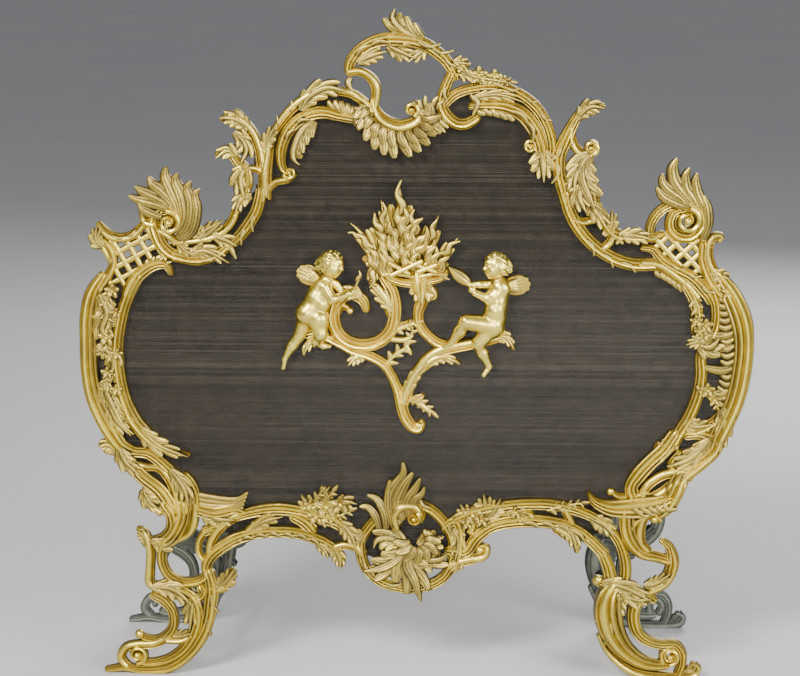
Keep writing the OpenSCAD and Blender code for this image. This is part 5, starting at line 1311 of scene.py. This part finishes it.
class Clay:
    """A lump modelled from soft-blended ellipsoids and limbs on a fine grid of distances."""

    def __init__(self, low, high):
        """An empty grid between two corners (x, depth, z)."""
        self.low = np.array(low, float)
        axes = [np.arange(a, b, CLAY_PITCH, dtype=np.float32) for a, b in zip(low, high)]
        self.x, self.y, self.z = np.meshgrid(*axes, indexing="ij")
        self.field = np.full(self.x.shape, 50, np.float32)

    def blend(self, distance, soft):
        """Joins a shape, given by its distances, to the lump with a soft fillet."""
        share = np.clip(0.5 + 0.5 * (self.field - distance) / soft, 0, 1)
        self.field = self.field + (distance - self.field) * share - soft * share * (1 - share)

    def ellipsoid(self, at, radii, soft=2.0, cut=False):
        """Adds an ellipsoid to the lump, or takes it away where cut is set."""
        px = self.x - at[0]
        py = self.y - at[1]
        pz = self.z - at[2]
        a, b, c = radii
        near = np.sqrt((px / a) ** 2 + (py / b) ** 2 + (pz / c) ** 2)
        slope = np.sqrt((px / a ** 2) ** 2 + (py / b ** 2) ** 2 + (pz / c ** 2) ** 2)
        distance = near * (near - 1) / np.maximum(slope, NOTHING)
        if cut:
            self.field = np.maximum(self.field, -distance)
        else:
            self.blend(distance, soft)

    def limb(self, a, ra, b, rb, soft=2.2):
        """A rounded limb from a, with radius ra, to b, with radius rb."""
        ab = np.array(b, float) - np.array(a, float)
        px = self.x - a[0]
        py = self.y - a[1]
        pz = self.z - a[2]
        share = np.clip((px * ab[0] + py * ab[1] + pz * ab[2]) / (ab @ ab), 0, 1)
        gap = np.sqrt((px - ab[0] * share) ** 2 + (py - ab[1] * share) ** 2 + (pz - ab[2] * share) ** 2)
        self.blend(gap - (ra + (rb - ra) * share), soft)

    def head(self, at, gaze, up):
        """A generic calm cherub's head with curly hair. gaze and up are directions."""
        ahead = np.array(gaze, float) / np.linalg.norm(gaze)
        side = np.cross(ahead, up)
        side = side / np.linalg.norm(side)
        rise = np.cross(side, ahead)
        centre = np.array(at, float)

        def spot(across, high, forth):
            return centre + HEAD * (across * side + high * rise + forth * ahead)

        def lump(across, high, forth, size, **how):
            self.ellipsoid(spot(across, high, forth), (HEAD * size,) * 3, **how)

        self.ellipsoid(centre, (HEAD, HEAD, HEAD * 1.04))               # skull
        lump(0, -0.3, 0.3, 0.74, soft=3)                                # jaw
        for s in (-1, 1):
            lump(0.4 * s, -0.34, 0.62, 0.36, soft=2.5)                  # cheek
            lump(0.95 * s, -0.08, -0.02, 0.2, soft=1)                   # ear
        lump(0, 0.34, 0.72, 0.36, soft=3)                               # brow
        lump(0, -0.78, 0.62, 0.26, soft=2.5)                            # chin
        for s in (-1, 1):
            lump(0.36 * s, 0.06, 1.02, 0.17, cut=True)                  # hollow of the eye
            lump(0.36 * s, 0.05, 0.86, 0.15, soft=0.6)                  # eye
        self.limb(spot(0, 0.14, 0.96), HEAD * 0.08, spot(0, -0.14, 1.12), HEAD * 0.15, soft=1.5)    # nose
        lump(0, -0.42, 0.95, 0.15, soft=1)                              # upper lip
        lump(0, -0.56, 0.9, 0.13, soft=1)                               # lower lip
        for k in range(LOCKS):
            turn = random.uniform(0, 2 * math.pi)
            high = random.uniform(-0.45, 1.0)
            flat = math.sqrt(max(0, 1 - high * high))
            forth = flat * math.cos(turn)
            if forth > 0.3 + 0.6 * high:
                continue
            across = flat * math.sin(turn)
            lock = (across, 1.06 * high, 1.03 * forth)
            drop = (1.12 * across, 1.02 * high - 0.3, 1.04 * forth - 0.25 + random.uniform(-0.1, 0.1))
            self.limb(spot(*lock), HEAD * 0.12, spot(*drop), HEAD * 0.07, soft=0.7)

    def cast(self):
        """Cuts the lump flat at the back and starts a casting with its surface."""
        self.field = np.maximum(self.field, CLAY_BACK - self.y)
        grid = openvdb.FloatGrid(SHELL_REACH)
        grid.copyFromArray(np.clip(self.field, -SHELL_REACH, SHELL_REACH).astype(np.float32))
        grid.transform = openvdb.createLinearTransform(voxelSize=CLAY_PITCH)
        points, quads = grid.convertToQuads()
        # the surface's curvature paints shade into its creases and a highlight onto its bulges
        dx, dy, dz = np.gradient(self.field)
        curve = np.gradient(dx, axis=0) + np.gradient(dy, axis=1) + np.gradient(dz, axis=2)
        i, j, k = (np.clip(np.round(points[:, n] / CLAY_PITCH).astype(int), 0, curve.shape[n] - 1)
                   for n in range(3))
        painted_light_and_tone = np.clip(0.72 + 3.0 * curve[i, j, k], 0, 1)
        part = Casting()
        part.points = (points + self.low).tolist()
        part.painted_light_and_tone = painted_light_and_tone.tolist()
        part.faces = quads.astype(int).tolist()
        return part


def wing(part, x, z, angle):
    """A small wing: two rows of rounded feathers that fan out from the shoulder."""
    for k in range(-2, 3):
        part.petal(x, z, angle + 0.19 * k, WING * (0.92 - 0.05 * k ** 2), WING * 0.42, bow=0.06 * k, curl=1,
                   tip=0.9)
    for k in range(4):
        part.petal(x, z, angle + 0.22 * (k - 1.5), WING * 0.5, WING * 0.34, base=6.5, curl=0, tip=0.85)


def left_putto():
    """A putto leaning over the scroll with a burning stick; every place is (x, depth, z)."""
    clay = Clay((-156, 1, 356), (-56, 34, 502))
    for a, ra, b, rb in (
            ((-95, 12, 469), 6, (-98, 11, 461), 7.5),           # neck
            ((-102, 11, 456), 11, (-109, 11, 443), 12.5),       # chest
            ((-109, 11, 443), 12.5, (-114, 11, 430), 13.5),     # belly
            ((-99, 17, 456), 6.6, (-91, 20, 443), 5.6),         # near upper arm
            ((-91, 20, 443), 5.4, (-76, 17, 447), 3.6),         # near forearm
            ((-88, 10, 459), 5.8, (-80, 11, 449), 4.8),         # far upper arm
            ((-80, 11, 449), 4.8, (-68, 12, 451), 3.4),         # far forearm
            ((-120, 9, 420), 10.5, (-128, 9, 402), 7.2),        # thigh of the straight leg
            ((-128, 9, 401), 6.4, (-137, 8, 388), 6.2),         # calf
            ((-137, 8, 388), 6.2, (-145, 7, 374), 3.1),         # ankle
            ((-145, 7, 374), 3.2, (-147, 8, 363), 2.6),         # foot
            ((-108, 15, 422), 11, (-104, 19, 404), 8),          # thigh of the bent leg
            ((-104, 19, 403), 6.6, (-110, 14, 394), 5),         # calf
            ((-110, 14, 394), 4.4, (-102, 11, 388), 3),         # ankle
            ((-102, 11, 388), 3, (-95, 10, 388), 2.4)):         # foot
        clay.limb(a, ra, b, rb)
    clay.ellipsoid((-119, 14, 426), (14, 12.5, 13), soft=3.5)
    clay.ellipsoid((-106, 17, 420), (12, 11, 12), soft=2.5)
    clay.ellipsoid((-102, 18, 437), (8, 7, 9), soft=3)
    clay.ellipsoid((-71, 17, 449), (4.4, 3.6, 3.6), soft=1.5)
    for k in range(4):
        clay.limb((-69, 17, 447 + 1.7 * k), 1.5, (-64.5, 16, 448 + 1.7 * k), 1.1, soft=0.6)
    clay.head((-92, 14, 482), (0.86, 0.5, -0.22), (0.15, 0, 1))
    part = clay.cast()
    wing(part, -104, 462, 2.75)
    part.band([(-68, 450, 3), (-65, 457, 3), (-62, 465, 2.4)], base=11, height=3, section=ROUND)
    flame(part, -62, 461, 0.1, 13, 6, 10)
    part.make("left_putto", "bright_gilt")


def right_putto():
    """A seated putto that works a pair of bellows; every place is (x, depth, z)."""
    clay = Clay((30, 1, 352), (126, 32, 500))
    for a, ra, b, rb in (
            ((91, 12, 468), 6, (93, 11, 461), 7.5),             # neck
            ((94, 11, 456), 12, (91, 11, 443), 12.2),           # chest
            ((91, 12, 440), 12.6, (89, 12, 426), 13.2),         # belly
            ((88, 11, 420), 13.6, (87, 11, 412), 13.8),         # hips
            ((99, 15, 455), 6.8, (83, 18, 443), 5.6),           # near upper arm
            ((83, 18, 443), 5.4, (67, 16, 450), 3.8),           # near forearm
            ((83, 10, 459), 5.5, (72, 11, 459), 4.6),           # far upper arm
            ((72, 11, 459), 4.6, (61, 12, 459), 3.5),           # far forearm
            ((88, 15, 414), 11.5, (57, 19, 419), 8.6),          # thigh of the raised leg
            ((55, 18, 417), 6.6, (50, 15, 407), 6.8),           # knee
            ((50, 15, 407), 6.8, (41, 12, 394), 3.5),           # calf
            ((41, 12, 393), 3.6, (33, 10, 388), 2.8),           # foot
            ((82, 13, 408), 10.5, (71, 15, 394), 8.2),          # thigh of the hanging leg
            ((71, 14, 391), 6.4, (76, 12, 381), 6.6),           # knee
            ((76, 12, 381), 6.6, (83, 10, 367), 3.4),           # calf
            ((83, 10, 366), 3.6, (77, 12, 357), 2.8)):          # foot
        clay.limb(a, ra, b, rb)
    clay.ellipsoid((63, 15, 454), (4.2, 3.8, 4.2), soft=1.5)
    clay.ellipsoid((89, 16, 431), (11, 10, 10), soft=2.5)
    clay.ellipsoid((88, 16, 448), (10, 8, 7), soft=2.5)
    clay.ellipsoid((88, 23.5, 428), (1.2, 1.4, 1.4), cut=True)
    clay.head((90, 14, 481), (-0.88, 0.46, -0.06), (-0.05, 0, 1))
    part = clay.cast()
    wing(part, 99, 456, 0.12)
    part.tongue([(62, 458, 4), (56, 463, 13), (47, 470, 14), (38, 478, 2)], base=9, lift=5, curl=0, thick=9)
    part.make("right_putto", "bright_gilt")


# ---- The gauze and the hardware ------------------------------------------------------------------

WIRE_PITCH = 0.8
WIRE_WIDTH = 0.6
WIRE_DEPTH = 0.34
WIRE_FACES = ((0, 1, 5, 4), (1, 2, 6, 5), (2, 3, 7, 6), (3, 0, 4, 7), (3, 2, 1, 0), (4, 5, 6, 7))


def crossings(outline, at, axis):
    """Where the line with that coordinate crosses a closed outline, in order."""
    hits = []
    for a, b in zip(outline, np.roll(outline, -1, axis=0)):
        if (a[axis] > at) != (b[axis] > at):
            share = (at - a[axis]) / (b[axis] - a[axis])
            hits.append(a[1 - axis] + share * (b[1 - axis] - a[1 - axis]))
    return sorted(hits)


def gauze_panel():
    """Two layers of crossing wires inside the panel's outline. Each level wire has its own tone."""
    outline = smooth([(x, z, 1) for x, z in closed(GAUZE_LOOP)], steps=4)[:, :2]
    half = WIRE_WIDTH / 2
    points = []
    faces = []
    tones = []
    for axis, layer in ((1, 0.2), (0, 0.56)):
        low = outline[:, axis].min()
        tone = 0.5
        for k in range(int((outline[:, axis].max() - low) / WIRE_PITCH)):
            at = low + (k + 0.5) * WIRE_PITCH
            tone = 0.5 * tone + 0.5 * random.random()
            hits = crossings(outline, at, axis)
            for ends in zip(hits[0::2], hits[1::2]):
                first = len(points)
                for run in ends:
                    for across, depth in ((-half, 0), (half, 0), (half, WIRE_DEPTH), (-half, WIRE_DEPTH)):
                        x, z = (at + across, run) if axis == 0 else (run, at + across)
                        points.append((x, FRONT_PLANE + layer + depth, z))
                own = 0.3 * tone + random.uniform(0.1, 0.6) if axis else 0.25
                tones.extend([own] * 8)
                faces.extend([[first + corner for corner in face] for face in WIRE_FACES])
    finish_piece("gauze_wires", "gauze_panel", "wire_gauze", np.array(points), faces, tones)


def shown_cad(metal, *names):
    """CAD nodes that are shown as they are, in a finish with wear spots."""
    for name in names:
        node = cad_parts[name]
        node.data.materials.clear()
        node.data.materials.append(METALS[metal])


# ---- Stage, lights and camera, in metres ---------------------------------------------------------

def area_light(name, at, aim, size, energy, colour):
    """A round soft lamp that looks at a point."""
    light = bpy.data.lights.new(name, "AREA")
    light.shape = "DISK"
    light.size = size
    light.energy = energy
    light.color = colour
    lamp = bpy.data.objects.new(name, light)
    lamp.location = at
    lamp.rotation_euler = (Vector(aim) - Vector(at)).to_track_quat("-Z", "Y").to_euler()
    bpy.context.collection.objects.link(lamp)


def stage():
    """A plain pale floor under an even sky, and four soft lamps."""
    reach = 45
    corners = [(-reach, -reach, 0), (reach, -reach, 0), (reach, reach, 0), (-reach, reach, 0)]
    mesh = bpy.data.meshes.new("floor")
    mesh.from_pydata(corners, [], [(0, 1, 2, 3)])
    mesh.materials.append(pale_floor())
    floor = bpy.data.objects.new("floor", mesh)
    bpy.context.collection.objects.link(floor)
    world = bpy.data.worlds.new("studio")
    world.use_nodes = True
    sky = world.node_tree.nodes["Background"]
    sky.inputs["Color"].default_value = (0.70, 0.71, 0.74, 1)
    sky.inputs["Strength"].default_value = 0.42
    bpy.context.scene.world = world
    middle = (0, FRONT_PLANE * MM, 0.38)
    area_light("key", (-1.1, -2.0, 2.1), middle, 0.8, 106, (1.0, 0.97, 0.92))
    area_light("fill", (1.9, -1.8, 1.2), middle, 1.4, 66, (0.95, 0.97, 1.0))
    area_light("front", (0.1, -2.7, 0.9), middle, 0.6, 34, (1.0, 0.98, 0.95))
    area_light("back", (0.9, 2.2, 1.7), middle, 1.4, 60, (1.0, 0.98, 0.95))


def camera():
    """At the photograph's viewing angle: from a little right of the middle, looking slightly down."""
    data = bpy.data.cameras.new("camera")
    data.sensor_width = 36
    data.lens = 92.1
    data.clip_end = 200
    view = bpy.data.objects.new("camera", data)
    view.location = (0.06, FRONT_PLANE * MM - 2.24, 0.85)
    view.rotation_euler = (math.radians(90 - 11.45), 0, math.radians(1.96))
    bpy.context.collection.objects.link(view)
    bpy.context.scene.camera = view


# ---- The screen ----------------------------------------------------------------------------------

for finish in (gilt_bronze, bright_gilt, dark_bronze, wire_gauze, iron_strap, steel_fastener):
    finish()
for build in (crest_loop, crest_shell, crest_sprig, left_arch, right_arch, left_ear, right_ear,
              left_shoulder, right_shoulder, left_finial, right_finial, left_lattice, right_lattice,
              left_side, right_side, left_side_flowers, right_side_flowers, left_haunch, right_haunch,
              left_lower_rail, right_lower_rail, left_spray, right_spray, cartouche_ring, cartouche_leaves,
              feet, mount_bracket, brazier, left_putto, right_putto, gauze_panel):
    build()
shown_cad("dark_bronze", "left_bridges", "right_bridges")
shown_cad("iron_strap", "joint_straps", "gauze_clips")
shown_cad("steel_fastener", "clip_screws", "strap_screws", "mount_studs", "mount_washers", "mount_nuts",
          "bridge_nuts")
stage()
camera()
